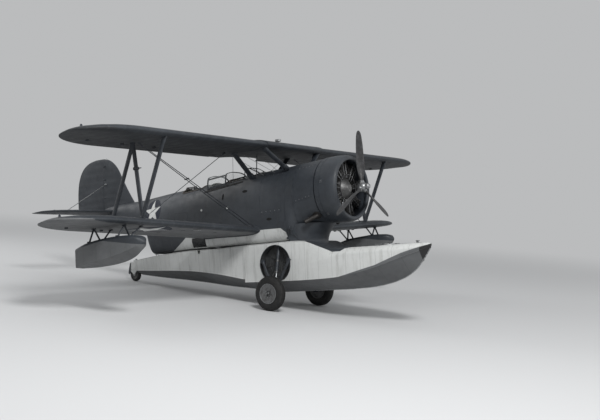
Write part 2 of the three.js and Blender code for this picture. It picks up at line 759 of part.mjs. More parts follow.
// Windscreen and sliding hood: framed shells with their panes cut out, along the sloping decking
function skinTop(aft, y) {
  const [, half, top, bottom, above] = between(bodyStations, aft);
  const middle = bottom + (top - bottom) * 0.52;
  return middle + (top - middle) * (1 - (y / half) ** above) ** (1 / above);
}
function hoodRing(aft, low, half, high) {
  const tall = high - low;
  const port = [
    [half, low],
    [half * 0.93, low + tall * 0.5],
    [half * 0.7, low + tall * 0.9],
    [half * 0.3, high],
  ];
  return [
    ...port.map(([y, z]) => point(aft, y, z)),
    ...port.reverse().map(([y, z]) => point(aft, -y, z)),
  ];
}
function hoodShell({ fore, aft, foreHalf, aftHalf, rise, foreHigh, aftHigh, wall }) {
  const ring = (at, half, high, off, over) => {
    const low = skinTop(at, half) + rise - (off > 0 ? 60 : 0);
    return hoodRing(at - over, low, half - off, high - off);
  };
  const outer = solid(loft([ring(fore, foreHalf, foreHigh, 0, 0), ring(aft, aftHalf, aftHigh, 0, 0)]));
  const inner = [ring(fore, foreHalf, foreHigh, wall, 60), ring(aft, aftHalf, aftHigh, wall, -60)];
  return outer.subtract(solid(loft(inner)));
}
const hood = {
  fore: 4965,
  aft: 5545,
  foreHalf: 405,
  aftHalf: 405,
  rise: 38,
  foreHigh: 2835,
  aftHigh: 2758,
  wall: 16,
};
const pane = (fore, aft, low, high, slope) => {
  const outline = [
    [fore, low],
    [fore, high],
    [aft, high - slope * (aft - fore)],
    [aft, low - slope * (aft - fore)],
  ];
  return slab(outline, -600, 600);
};
place(
  "sliding_hood",
  "blueGrey",
  hoodShell(hood).subtract(pane(hood.fore + 36, hood.aft - 36, 2575, 2770, 0.13)),
);
const screen = {
  fore: 4085,
  aft: 4445,
  foreHalf: 270,
  aftHalf: 385,
  rise: 2,
  foreHigh: 2878,
  aftHigh: 2878,
  wall: 14,
};
const rake = slab(
  [
    [4000, 2500],
    [4000, 3000],
    [4415, 3000],
    [4415, 2886],
    [4100, 2742],
    [4100, 2500],
  ],
  -500,
  500,
);
const screenPane = slab(
  [
    [4410, 2655],
    [4410, 2830],
    [4250, 2765],
    [4250, 2715],
  ],
  -600,
  600,
);
place(
  "windscreen",
  "blueGrey",
  biggest(hoodShell(screen).subtract(join(rake, screenPane, wholeBody))),
);

// Main wheels, on legs from the side of the float
const wheelProfile = (radius, width, rim) => [
  [0, -width * 0.2],
  [rim * 0.4, -width * 0.26],
  [rim, -width * 0.3],
  [rim, -width * 0.42],
  [radius * 0.82, -width * 0.5],
  [radius * 0.94, -width * 0.42],
  [radius, -width * 0.18],
  [radius, width * 0.18],
  [radius * 0.94, width * 0.42],
  [radius * 0.82, width * 0.5],
  [rim, width * 0.42],
  [rim, width * 0.3],
  [rim * 0.4, width * 0.26],
  [0, width * 0.2],
];
for (const { name, sign } of sides) {
  const out = new THREE.Vector3(0, 1, 0);
  const wheel = turned(
    wheelProfile(mainWheel.radius, mainWheel.width, 195),
    point(mainWheel.aft, mainWheel.y, mainWheel.z),
    out,
    40,
  );
  const bore = turned(
    [
      [0, -200],
      [29, -200],
      [29, 200],
      [0, 200],
    ],
    point(mainWheel.aft, mainWheel.y, mainWheel.z),
    out,
    16,
  );
  place(`main_wheel_${name}`, "tyre", mirrored(wheel.subtract(bore), sign));
  const inner = point(mainWheel.aft, mainWheel.y - 150, mainWheel.z);
  const axle = rod(inner, point(mainWheel.aft, mainWheel.y + 110, mainWheel.z), 50, 12);
  const shoulders = [
    [point(3120, 640, 700), 62],
    [point(3830, 640, 700), 62],
    [point(3475, 500, 1000), 76],
  ];
  const legs = shoulders.map(([top, size]) => rod(top, inner, size, 10));
  const boss = rod(inner.clone().setY(inner.y - 60), inner.clone().setY(inner.y + 60), 120, 12);
  const leg = biggest(join(axle, boss, ...legs).subtract(hullSolid.subtract(join(...wells)).translate([0, 0.4, 0])));
  place(`main_gear_leg_${name}`, "steel", mirrored(leg, sign));
}

// Tail wheel in its swivelling fork, and the water rudder behind it
const tailAxis = new THREE.Vector3(0, 1, 0);
const tyre = turned(
  wheelProfile(tailWheel.radius, tailWheel.width, 88),
  point(tailWheel.aft, 0, tailWheel.z),
  tailAxis,
  32,
);
const tailBore = rod(point(tailWheel.aft, -80, tailWheel.z), point(tailWheel.aft, 80, tailWheel.z), 26, 12);
place("tail_wheel", "tyre", tyre.subtract(tailBore));
const forkPivot = 8372;
const crown = box(8515, 0, 780, [0, 193], [-66, 66], [0, 134]);
const prongOutline = [
  [8309, 914],
  [8306, 705],
  [8372, 640],
  [8380, 572],
  [8436, 572],
  [8460, 640],
  [8520, 690],
  [8500, 914],
];
const prongs = [-57, 57].map((out) => slab(prongOutline, out - 7, out + 7));
const tailAxle = rod(point(tailWheel.aft, -60, tailWheel.z), point(tailWheel.aft, 60, tailWheel.z), 24.5, 12);
place("tail_wheel_fork", "lightGrey", join(crown, ...prongs, tailAxle));
const sternPost = join(
  box(8270, 0, 792, [0, 89], [-70, 70], [0, 170]),
  box(forkPivot + 60, 0, 920, [0, 251], [-60, 60], [0, 42]),
);
place("tail_wheel_mount", "lightGrey", sternPost.subtract(hullSolid.translate([-gap, 0, 0])));
const bladeOutline = [
  [8515.5, 800],
  [8515.5, 905],
  [8590, 905],
  [8668, 640],
  [8612, 612],
];
place("water_rudder", "blueGrey", slab(bladeOutline, -9, 9));

// Fittings that a sling or a mooring line takes hold of
const slingFoot = upperLead.z + 190;
const sling = box(upperLead.aft + 560, 0, slingFoot, [0, 120], [-45, 45], [0, 60]);
place("hoist_fitting", "steel", sling.subtract(grown(wingSolids.upper, 0.4)));
const cleat = join(
  box(330, 0, 880, [0, 60], [-20, 20], [0, 48]),
  box(350, 0, 920, [0, 100], [-24, 24], [0, 16]),
);
place("bow_cleat", "steel", cleat.subtract(deckCut));

// Exhaust stubs below the cowl
for (const { name, sign } of sides) {
  const pipe = rod(point(2420, 430, 1620), point(2640, 640, 1480), 96, 14);
  place(`exhaust_${name}`, "steel", mirrored(pipe.subtract(wholeBody), sign));
}

// The airframe is level in its own drawing, and leans back until all three tyres touch the floor.
const rise = tailWheel.z - mainWheel.z;
const reach = tailWheel.aft - mainWheel.aft;
const lean =
  Math.atan2(rise, reach) +
  Math.asin((mainWheel.radius - tailWheel.radius) / Math.hypot(rise, reach));
airframe.rotation.y = -lean;

const aircraft = new THREE.Group();
aircraft.add(airframe);
aircraft.updateMatrixWorld(true);
const extent = new THREE.Box3().setFromObject(aircraft, true);
airframe.position.set(-(extent.min.x + extent.max.x) / 2, 0, -extent.min.z);

export default aircraft;
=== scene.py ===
import json
import math

import bpy
import mathutils
import numpy as np
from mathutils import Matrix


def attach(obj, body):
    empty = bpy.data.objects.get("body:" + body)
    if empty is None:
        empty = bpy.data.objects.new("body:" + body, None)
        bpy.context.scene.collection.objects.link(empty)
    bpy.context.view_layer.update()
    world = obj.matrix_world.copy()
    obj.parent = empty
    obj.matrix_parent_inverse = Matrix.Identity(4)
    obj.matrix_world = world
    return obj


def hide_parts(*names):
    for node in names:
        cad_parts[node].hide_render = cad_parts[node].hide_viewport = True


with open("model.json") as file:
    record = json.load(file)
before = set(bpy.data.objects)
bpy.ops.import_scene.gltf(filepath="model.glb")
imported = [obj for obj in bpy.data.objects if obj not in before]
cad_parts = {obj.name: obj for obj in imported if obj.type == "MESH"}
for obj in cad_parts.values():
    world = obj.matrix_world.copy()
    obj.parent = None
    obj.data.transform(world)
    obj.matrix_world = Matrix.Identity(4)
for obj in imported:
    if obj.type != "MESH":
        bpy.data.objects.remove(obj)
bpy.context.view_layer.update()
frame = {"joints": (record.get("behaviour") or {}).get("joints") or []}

# The airframe is worked out level, in metres: x is minus the distance aft of the bow, y is to port
# and z is the height above the straight part of the keel. It then leans back on its wheels.
hub = {"aft": 1.56, "up": 2.156}
spinJoint = next(joint for joint in frame["joints"] if joint["name"] == "propeller_spin")
ahead = np.array(spinJoint["axis"])
lean = math.atan2(ahead[2], ahead[0])
upward = np.array([-ahead[2], 0.0, ahead[0]])
turnIntoPart = np.stack([ahead, [0.0, 1.0, 0.0], upward])
levelOrigin = np.array(spinJoint["pos_m"]) + hub["aft"] * ahead - hub["up"] * upward


def spot(aft, port, up):
    # level points from distances aft, to port and up, as whole arrays
    return np.stack(np.broadcast_arrays(-np.asarray(aft, float), port, up), axis=-1).astype(float)


def paired(*values):
    return np.broadcast_arrays(*(np.asarray(value, float) for value in values))


def toPart(points):
    return np.asarray(points) @ turnIntoPart + levelOrigin


def toLevel(numbers):
    return (numbers.reshape(-1, 3) - levelOrigin) @ turnIntoPart.T


def unit(vector):
    return vector / np.linalg.norm(vector, axis=-1, keepdims=True)


def spread(start, end, count):
    return np.linspace(np.asarray(start, float), np.asarray(end, float), count)


def fullTurn(count):
    return np.linspace(0, 2 * np.pi, count, endpoint=False)


def bent(a, b, c, count):
    # a quadratic curve from a to c, its ends heading for b
    t = np.linspace(0, 1, count)[:, None]
    return (1 - t) ** 2 * a + 2 * t * (1 - t) * b + t**2 * c


def arcOf(path):
    # the distance along a path at each of its points
    return np.concatenate([[0], np.cumsum(np.linalg.norm(np.diff(path, axis=0), axis=1))])


# Shapes are (points, quads, triangles). Every closed one is turned so that its faces point out.
noTris = np.zeros((0, 3), int)


def together(*shapes):
    starts = np.cumsum([0] + [len(shape[0]) for shape in shapes[:-1]])
    return (
        np.concatenate([shape[0] for shape in shapes]),
        np.concatenate([shape[1].reshape(-1, 4) + start for shape, start in zip(shapes, starts)]),
        np.concatenate([shape[2].reshape(-1, 3) + start for shape, start in zip(shapes, starts)]),
    )


def joined(shape):
    return together(*shape) if isinstance(shape, list) else shape


def outward(shape):
    # the sum of a . (b x c) over the triangles is six times the volume, and negative inside out
    points, quads, tris = shape
    corners = (points - points.mean(axis=0))[np.concatenate([quads[:, :3], quads[:, [0, 2, 3]], tris])]
    if np.einsum("ij,ij->", corners[:, 0], np.cross(corners[:, 1], corners[:, 2])) < 0:
        return points, quads[:, ::-1], tris[:, ::-1]
    return shape


def mirrored(shape):
    return shape[0] * [1, -1, 1], shape[1][:, ::-1], shape[2][:, ::-1]


def skin(grid, capped=True):
    # grid[u, v]: rings u of points v, joined into quads; the ends are closed by a fan about their centre
    rings, count = grid.shape[:2]
    near = np.arange(rings * count).reshape(rings, count)
    far = np.roll(near, -1, axis=1)
    quads = np.stack([near[:-1], far[:-1], far[1:], near[1:]], axis=-1).reshape(-1, 4)
    points = grid.reshape(-1, 3)
    if not capped:
        return points, quads, noTris
    middles = grid[[0, -1]].mean(axis=1)
    tip = np.full(count, rings * count)
    first = np.stack([far[0], near[0], tip], axis=-1)
    last = np.stack([near[-1], far[-1], tip + 1], axis=-1)
    return outward((np.concatenate([points, middles]), quads, np.concatenate([first, last])))


def frameOf(axis):
    # two directions across an axis
    axis = unit(np.asarray(axis, float))
    helper = np.array([0.0, 0, 1]) if abs(axis[2]) < 0.9 else np.array([1.0, 0, 0])
    side = unit(np.cross(axis, helper))
    return axis, side, np.cross(axis, side)


def lathe(profile, centre, axis, count=48, closed=False):
    # a profile of (radius, distance) pairs turned about an axis; a closed one comes back to its start
    profile = np.asarray(profile, float)
    axis, side, other = frameOf(axis)
    turn = fullTurn(count)
    wheel = np.cos(turn)[:, None] * side + np.sin(turn)[:, None] * other
    grid = centre + profile[:, 1, None, None] * axis + profile[:, 0, None, None] * wheel
    if not closed:
        return skin(grid)
    return outward(skin(np.concatenate([grid, grid[:1]]), capped=False))


def tube(path, radius, count=10):
    # a circle carried along a path, its radius a number or one for each point
    path = np.asarray(path, float)
    along = unit(np.gradient(path, axis=0))
    mean = unit((path[-1] - path[0]) if np.linalg.norm(path[-1] - path[0]) > 1e-6 else path[1] - path[0])
    side = unit(np.cross(along, frameOf(mean)[1]))
    other = np.cross(along, side)
    turn = fullTurn(count)
    size = np.broadcast_to(radius, len(path))[:, None, None]
    ring = np.cos(turn)[:, None] * side[:, None] + np.sin(turn)[:, None] * other[:, None]
    return skin(path[:, None] + size * ring)


def rod(start, end, radius, count=10, steps=3):
    return tube(spread(start, end, steps), radius, count)


def fairedBar(start, end, wide, thick, along=(1.0, 0, 0), count=20, taper=0.82):
    # a teardrop section carried from end to end, its wide side along the airflow, narrower at both ends
    start, end = np.asarray(start, float), np.asarray(end, float)
    way = unit(end - start)
    across = unit(np.cross(way, along))
    fore = np.cross(across, way)
    turn = fullTurn(count)
    u = np.cos(turn) * wide / 2
    v = np.sin(turn) * thick / 2 * (0.86 + 0.3 * np.cos(turn))
    share = np.array([0, 0.02, 0.06, 0.12, 0.5, 0.88, 0.94, 0.98, 1])
    size = np.interp(share, [0, 0.12, 0.88, 1], [taper, 1, 1, taper])
    ring = u[:, None] * fore + v[:, None] * across
    return skin((start + share[:, None] * (end - start))[:, None] + size[:, None, None] * ring)


def stacked(levels, centre, axes):
    # outlines of (a, b) pairs at distances across their plane, joined, turned and moved into place
    points, quads, tris = skin(np.array([[[a, b, c] for a, b in ring] for c, ring in levels]))
    return outward((points @ np.asarray(axes, float) + np.asarray(centre, float), quads, tris))


def block(centre, size, bevel=0.0, axes=np.eye(3)):
    # a box whose edges are cut by a small bevel: rings of a rectangle with cut corners, end to end
    half = np.asarray(size, float) / 2
    inner = half - bevel
    signs = np.repeat([[1, 1], [-1, 1], [-1, -1], [1, -1]], 2, axis=0)
    cuts = np.array([[1, 0], [0, 1], [0, 1], [1, 0]] * 2)
    ring = signs * (inner[:2] + bevel * cuts)
    small = ring * (inner / half)[:2]
    return stacked([(-half[2], small), (-inner[2], ring), (inner[2], ring), (half[2], small)], centre, axes)


def plate(outline, thick, centre, axes, bevel=0.0):
    # a flat outline of (a, b) pairs pushed out both ways across its plane
    outline = np.asarray(outline, float)
    middle = outline.mean(axis=0)
    half = thick / 2
    if not bevel:
        return stacked([(-half, outline), (half, outline)], centre, axes)
    small = middle + (outline - middle) * (1 - bevel / np.abs(outline - middle).max())
    levels = [(-half, small), (-half + bevel, outline), (half - bevel, outline), (half, small)]
    return stacked(levels, centre, axes)


def smoothRows(rows, at):
    # a cubic through each column of a table, its slopes the harmonic means of the neighbouring ones
    rows = np.asarray(rows, float)
    x, y = rows[:, 0], rows[:, 1:]
    step = np.diff(x)[:, None]
    slope = np.diff(y, axis=0) / step
    lead, trail = 2 * step[1:] + step[:-1], step[1:] + 2 * step[:-1]
    same = slope[:-1] * slope[1:] > 0
    safe = np.where(same, slope[:-1], 1), np.where(same, slope[1:], 1)
    inner = np.where(same, (lead + trail) / (lead / safe[0] + trail / safe[1]), 0)
    tangent = np.concatenate([slope[:1], inner, slope[-1:]])
    k = np.clip(np.searchsorted(x, at, side="right") - 1, 0, len(x) - 2)
    t = ((at - x[k]) / (x[k + 1] - x[k]))[:, None]
    h = step[k]
    return (
        (2 * t**3 - 3 * t**2 + 1) * y[k]
        + (t**3 - 2 * t**2 + t) * h * tangent[k]
        + (3 * t**2 - 2 * t**3) * y[k + 1]
        + (t**3 - t**2) * h * tangent[k + 1]
    )


def stationsOf(rows, gapLength):
    # the table's own stations and even ones between them
    ats = [rows[0][0]]
    for low, high in zip(rows[:-1], rows[1:]):
        count = max(1, math.ceil((high[0] - low[0]) / gapLength))
        ats += list(np.linspace(low[0], high[0], count + 1)[1:])
    return np.array(ats)


# Meshes and pieces
def meshOf(name, shape):
    mesh = bpy.data.meshes.new(name)
    points, quads, tris = shape
    mesh.from_pydata(toPart(points).tolist(), [], quads.tolist() + tris.tolist())
    mesh.validate()
    return mesh


def newObject(name, data):
    obj = bpy.data.objects.new(name, data)
    bpy.context.scene.collection.objects.link(obj)
    return obj


def cut(shape, cutter, operation="DIFFERENCE"):
    # a boolean of two closed shapes, read back as triangles in the level frame
    made = [newObject("cut", meshOf("cut", part)) for part in (shape, cutter)]
    modifier = made[0].modifiers.new("cut", "BOOLEAN")
    modifier.operation = operation
    modifier.object = made[1]
    modifier.solver = "EXACT"
    result = made[0].evaluated_get(bpy.context.evaluated_depsgraph_get()).to_mesh()
    result.calc_loop_triangles()
    points = np.zeros(len(result.vertices) * 3)
    result.vertices.foreach_get("co", points)
    tris = np.zeros(len(result.loop_triangles) * 3, int)
    result.loop_triangles.foreach_get("vertices", tris)
    for obj in made:
        mesh = obj.data
        bpy.data.objects.remove(obj)
        bpy.data.meshes.remove(mesh)
    return toLevel(points), np.zeros((0, 4), int), tris.reshape(-1, 3)


def piece(name, shape, finish, body="airframe", stands=(), crease=32, groups=None):
    # shape may be a list of shapes, and finish a list of finishes: groups then gives each face, from
    # its middle in level metres, the number of its own
    mesh = meshOf(name, joined(shape))
    mesh.shade_smooth()
    mesh.set_sharp_from_angle(angle=math.radians(crease))
    used = [finishes[key] for key in ([finish] if isinstance(finish, str) else finish)]
    for material in used:
        mesh.materials.append(material)
    if groups:
        middles = np.zeros(len(mesh.polygons) * 3)
        mesh.polygons.foreach_get("center", middles)
        x, y, z = toLevel(middles).T
        mesh.polygons.foreach_set("material_index", groups(-x, y, z).astype(int))
    obj = newObject(name, mesh)
    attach(obj, body)
    if stands:
        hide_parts(*stands)
    return obj


# Node materials, all on Object coordinates turned level
class nodeKit:
    def __init__(self, name, slot):
        self.material = bpy.data.materials.new(name)
        self.material.use_nodes = True
        self.material["slot"] = slot
        self.tree = self.material.node_tree
        self.shader = next(n for n in self.tree.nodes if n.type == "BSDF_PRINCIPLED")
        level = self.node("ShaderNodeMapping")
        level.inputs["Rotation"].default_value = (0, lean, 0)
        level.inputs["Location"].default_value = tuple(-turnIntoPart @ levelOrigin)
        self.link(self.node("ShaderNodeTexCoord").outputs["Object"], level.inputs["Vector"])
        self.level = level.outputs[0]

    def node(self, kind, **settings):
        made = self.tree.nodes.new(kind)
        for key, value in settings.items():
            setattr(made, key, value)
        return made

    def link(self, source, target):
        self.tree.links.new(source, target)

    def feed(self, target, value):
        # a wire, a number, or a colour of three numbers
        if isinstance(value, bpy.types.NodeSocket):
            self.link(value, target)
        else:
            target.default_value = (*value, 1) if isinstance(value, tuple) else value

    def axis(self, index):
        split = self.node("ShaderNodeSeparateXYZ")
        self.link(self.level, split.inputs[0])
        return split.outputs[index]

    def aftAndUp(self):
        return self.math("MULTIPLY", self.axis(0), -1.0), self.axis(2)

    def math(self, operation, a, b=0.0):
        made = self.node("ShaderNodeMath", operation=operation)
        for socket, value in zip(made.inputs, (a, b)):
            self.feed(socket, value)
        return made.outputs[0]

    def noise(self, scale, stretch=(1, 1, 1), detail=4.0, roughness=0.6):
        squash = self.node("ShaderNodeMapping")
        squash.inputs["Scale"].default_value = stretch
        self.link(self.level, squash.inputs["Vector"])
        made = self.node("ShaderNodeTexNoise")
        for name, number in (("Scale", scale), ("Detail", detail), ("Roughness", roughness)):
            made.inputs[name].default_value = number
        self.link(squash.outputs[0], made.inputs["Vector"])
        return made.outputs["Fac"]

    def ramp(self, value, low, high, start=0.0, end=1.0):
        made = self.node("ShaderNodeMapRange", clamp=True)
        self.feed(made.inputs["Value"], value)
        for name, number in (("From Min", low), ("From Max", high), ("To Min", start), ("To Max", end)):
            made.inputs[name].default_value = number
        return made.outputs[0]

    def past(self, value, line, start=0.0, end=1.0):
        # the end value where a value is past a line, with an edge 6 mm wide
        return self.ramp(self.math("SUBTRACT", value, line), -0.003, 0.003, start, end)

    def mix(self, share, a, b):
        made = self.node("ShaderNodeMix", data_type="RGBA")
        for name, value in (("Factor", share), ("A", a), ("B", b)):
            self.feed(made.inputs[name], value)
        return next(o for o in made.outputs if o.type == "RGBA")

    def seams(self, coordinate, spacing, width):
        # 1 on thin lines at even distances along a coordinate
        place = self.math("FRACT", self.math("DIVIDE", coordinate, spacing))
        near = self.math("ABSOLUTE", self.math("SUBTRACT", place, 0.5))
        return self.ramp(near, 0.5 - width / spacing, 0.5 - width / spacing / 3)

    def rivets(self, along, across, pitch, spacing, offset=0.0):
        # small round heads at a pitch along lines that lie at even distances across
        a = self.math("SUBTRACT", self.math("FRACT", self.math("DIVIDE", along, pitch)), 0.5)
        row = self.math("ADD", self.math("DIVIDE", across, spacing), offset)
        b = self.math("SUBTRACT", self.math("FRACT", row), 0.5)
        far = self.math("SQRT", self.math("ADD", self.squared(a, pitch), self.squared(b, spacing)))
        return self.ramp(far, sheetLook["rivet"], sheetLook["rivet"] * 0.4)

    def squared(self, value, scale):
        scaled = self.math("MULTIPLY", value, scale)
        return self.math("MULTIPLY", scaled, scaled)

    def highest(self, *values):
        top = values[0]
        for value in values[1:]:
            top = self.math("MAXIMUM", top, value)
        return top

    def bump(self, height, distance, strength=1.0, under=None):
        made = self.node("ShaderNodeBump")
        made.inputs["Distance"].default_value = distance
        made.inputs["Strength"].default_value = strength
        self.link(height, made.inputs["Height"])
        if under:
            self.link(under, made.inputs["Normal"])
        return made.outputs[0]

    def finish(self, colour, roughness, metallic=0.0, normal=None):
        self.feed(self.shader.inputs["Base Color"], colour)
        self.feed(self.shader.inputs["Roughness"], roughness)
        self.shader.inputs["Metallic"].default_value = metallic
        if normal:
            self.link(normal, self.shader.inputs["Normal"])
        return self.material


paintLook = {
    # tone, faded, grime, and how much of the grime shows in the streaks
    "blueGrey": ((0.018, 0.022, 0.028), (0.037, 0.043, 0.051), (0.012, 0.013, 0.014), 0.38),
    "lightGrey": ((0.50, 0.51, 0.50), (0.58, 0.59, 0.58), (0.24, 0.24, 0.225), 0.60),
    # underGrey: darker than the undersides' own light grey, as painted shade on the float's bottom, the lower
    # wing's underside and the small floats
    "underGrey": ((0.090, 0.094, 0.098), (0.130, 0.134, 0.138), (0.055, 0.055, 0.053), 0.38),
    # shade: near black, painted shadow on the upper wing's underside in place of its own lighter grey
    "shade": ((0.016, 0.018, 0.021), (0.026, 0.029, 0.033), (0.012, 0.013, 0.014), 0.38),
}
stemBlack = (0.012, 0.012, 0.013)
streakLook = {"down": (5, 5, 0.5), "alongWind": (0.5, 6, 4)}


def worn(wires, paint, streak="down"):
    # faded in large patches, mottled in small ones, and streaked down or along the flow
    base, faded, grime, amount = paintLook[paint]
    patches = wires.ramp(wires.noise(1.1, (1, 1, 1.6)), 0.35, 0.7)
    streaks = wires.ramp(wires.noise(2.2, streakLook[streak], 5.0, 0.65), 0.5, 0.78)
    mottle = wires.ramp(wires.noise(24, detail=3.0), 0.4, 0.75, 0.0, 0.35)
    shade = wires.mix(patches, base, faded)
    shade = wires.mix(wires.math("MULTIPLY", streaks, amount), shade, grime)
    return wires.mix(mottle, shade, faded)


def coat(paint, streak="down"):
    return lambda wires: worn(wires, paint, streak)


sheetLook = {"seam": 0.005, "rivet": 0.0042, "rowOff": 0.018, "seamGrime": 0.38, "roughness": (0.46, 0.66)}


def sheetMetal(name, slot, paint, panel=0.42, pitch=0.035, stringer=0.21):
    # painted metal sheet: seams and rivet rows at the frames, faint dishing between them
    look = sheetLook
    wires = nodeKit(name, slot)
    x, z = wires.axis(0), wires.axis(2)
    seam = wires.seams(x, panel, look["seam"])
    rows = wires.highest(
        wires.rivets(z, x, pitch, panel, 0.5 + look["rowOff"] / panel),
        wires.rivets(z, x, pitch, panel, 0.5 - look["rowOff"] / panel),
        wires.rivets(x, z, pitch, stringer),
    )
    normal = wires.bump(wires.noise(1.0, (1 / panel, 2.2, 2.6), 2.0), 0.010, 0.5)
    normal = wires.bump(wires.math("SUBTRACT", rows, seam), 0.0016, 0.9, normal)
    normal = wires.bump(wires.noise(180, detail=2.0), 0.0004, 0.35, normal)
    dirty = wires.mix(wires.math("MULTIPLY", seam, look["seamGrime"]), paint(wires), (0.02, 0.02, 0.02))
    return wires.finish(dirty, wires.ramp(wires.noise(6.0), 0.3, 0.75, *look["roughness"]), 0.0, normal)


# Edges between paints, painted shade and painted shadow, in level metres: from, to, and the edge's
# height or distance aft at each
edgeLook = {
    "bodyFoot": (2.9, 3.3, 1.08, 1.40), "bodyBack": (1.0, 1.4, 6.728, 6.174), "bodyShelf": 0.495,
    "stem": (0.54, 0.80, 0.200, 0.165), "bow": (0, 2, 0.845, 0.245), "bowBend": (0, 2, 0.89, 0.11),
    "chine": (0, 2, 0.733, 0.253), "bowShadeEnd": 1.903, "deckFoot": (2.05, 2.76, 0.81, 1.10),
    "deckNose": (1.62, 1.85, 0.95, 0.81), "darkEnd": 2.903, "deckStart": 1.753, "deckUp": 0.783,
    "deckHalf": 0.5,
    "tipFore": (3.5, 4.4, 1.10, 1.225), "tipRear": (4.4, 5.25, 1.225, 1.10),
}


def bodyPaint(wires):
    # light grey low on the side, from the prow back to a slanting edge behind the window
    aft, up = wires.aftAndUp()
    low = wires.past(up, wires.ramp(aft, *edgeLook["bodyFoot"]), 1, 0)
    inward = wires.math("SUBTRACT", edgeLook["bodyShelf"], wires.math("ABSOLUTE", wires.axis(1)))
    edge = wires.math("ADD", wires.ramp(up, *edgeLook["bodyBack"]), wires.math("MAXIMUM", inward, 0.0))
    light = wires.math("MULTIPLY", low, wires.past(edge, aft))
    return wires.mix(light, worn(wires, "blueGrey"), worn(wires, "lightGrey"))


def bottomPaint(wires):
    # grey darkened as painted shade on the float's bottom, with a black patch on the stem
    aft, up = wires.aftAndUp()
    return wires.mix(wires.past(wires.ramp(up, *edgeLook["stem"]), aft), worn(wires, "underGrey"), stemBlack)


def hullSidePaint(wires):
    # light grey, with the prow's blue grey carried down over the deck ahead of it, partly the prow's
    # own paint and partly painted shadow of the cowl on the deck, and the bottom's grey carried up past
    # the chine towards the bow as painted shade on the bow's sides
    aft, up = wires.aftAndUp()
    bow, bend, chine, foot, nose = (
        wires.ramp(aft, *edgeLook[key]) for key in ("bow", "bowBend", "chine", "deckFoot", "deckNose")
    )
    # where the bottom's grey reaches up the bow's sides: painted shade
    line = wires.math("MINIMUM", bow, wires.highest(bend, chine))
    bottom = wires.math("MULTIPLY", wires.past(up, line, 1, 0), wires.past(aft, edgeLook["bowShadeEnd"], 1, 0))
    # the deck about the prow's foot, painted dark: the prow's blue grey and painted shadow of the cowl
    deck = wires.math("MULTIPLY", wires.past(aft, edgeLook["deckStart"]), wires.past(up, edgeLook["deckUp"]))
    inner = wires.past(wires.math("ABSOLUTE", wires.axis(1)), edgeLook["deckHalf"], 1, 0)
    dark = wires.highest(wires.past(up, wires.highest(foot, nose)), wires.math("MULTIPLY", deck, inner))
    dark = wires.math("MULTIPLY", dark, wires.past(aft, edgeLook["darkEnd"], 1, 0))
    return wires.mix(
        bottom, wires.mix(dark, worn(wires, "lightGrey"), worn(wires, "blueGrey")), bottomPaint(wires),
    )


def tipFloatPaint(wires):
    # blue grey above the chine and grey below, the grey darkened as painted shade
    aft, up = wires.aftAndUp()
    fore, rear = (wires.ramp(aft, *edgeLook[key]) for key in ("tipFore", "tipRear"))
    above = wires.past(up, wires.math("MINIMUM", fore, rear))
    return wires.mix(above, worn(wires, "underGrey"), worn(wires, "blueGrey"))


fabricLook = {"rib": 0.305, "tape": 0.02, "tapeTone": 0.10, "threads": 2200.0, "roughness": (0.55, 0.74)}


def dopedFabric(name, paint):
    # doped cloth: a fine weave under the paint, and a tape over each rib
    look = fabricLook
    wires = nodeKit(name, "doped_fabric")
    threads = [wires.math("SINE", wires.math("MULTIPLY", wires.axis(k), look["threads"])) for k in (0, 1)]
    tape = wires.seams(wires.axis(1), look["rib"], look["tape"])
    normal = wires.bump(wires.math("ADD", *threads), 0.0002, 0.25)
    normal = wires.bump(wires.noise(3.0, (1, 3, 1), 3.0), 0.006, 0.35, normal)
    share = wires.math("MULTIPLY", tape, look["tapeTone"])
    colour = wires.mix(share, worn(wires, paint, "alongWind"), paintLook["underGrey"][1])
    return wires.finish(colour, wires.ramp(wires.noise(5.0), 0.3, 0.75, *look["roughness"]), 0.0, normal)


def plainMetal(name, slot, colour, dark, roughness=(0.3, 0.5), metallic=1.0, scale=30, relief=0.0008):
    # bare or lacquered metal: brushed tone, darker where oil and dust gather
    wires = nodeKit(name, slot)
    tone = wires.mix(wires.ramp(wires.noise(scale, detail=5.0), 0.42, 0.72), colour, dark)
    rough = wires.ramp(wires.noise(scale * 1.7), 0.3, 0.7, *roughness)
    return wires.finish(tone, rough, metallic, wires.bump(wires.noise(scale * 5), relief, 0.5))


def tyreRubber():
    wires = nodeKit("tyre rubber", "tyre_rubber")
    dust = wires.ramp(wires.noise(9, detail=5.0), 0.45, 0.75, 0.0, 0.6)
    tone = wires.mix(dust, (0.009, 0.009, 0.009), (0.034, 0.032, 0.030))
    rough = wires.ramp(wires.noise(20), 0.3, 0.7, 0.7, 0.9)
    return wires.finish(tone, rough, 0.0, wires.bump(wires.noise(150), 0.0006, 0.6))


def wornLeather():
    wires = nodeKit("worn leather", "seat_leather")
    cells = wires.node("ShaderNodeTexVoronoi", feature="DISTANCE_TO_EDGE")
    cells.inputs["Scale"].default_value = 160
    wires.link(wires.level, cells.inputs["Vector"])
    wear = wires.ramp(wires.noise(8, detail=5.0), 0.4, 0.7)
    tone = wires.mix(wear, (0.030, 0.024, 0.020), (0.055, 0.045, 0.038))
    rough = wires.ramp(wires.noise(14), 0.3, 0.7, 0.42, 0.62)
    return wires.finish(tone, rough, 0.0, wires.bump(cells.outputs[0], 0.0008, 0.6))


def webbing():
    wires = nodeKit("belt webbing", "seat_leather")
    slant = wires.math("ADD", wires.axis(0), wires.axis(2))
    weave = wires.math("SINE", wires.math("MULTIPLY", slant, 1400.0))
    tone = wires.mix(wires.ramp(wires.noise(30), 0.4, 0.7), (0.30, 0.27, 0.20), (0.20, 0.175, 0.125))
    return wires.finish(tone, 0.85, 0.0, wires.bump(weave, 0.0006, 0.6))


def clearPane(name, tint, cover):
    wires = nodeKit(name, "hull_paint")
    material = wires.finish(tint, wires.ramp(wires.noise(7, detail=4.0), 0.4, 0.8, 0.03, 0.16))
    wires.shader.inputs["Alpha"].default_value = cover
    return material


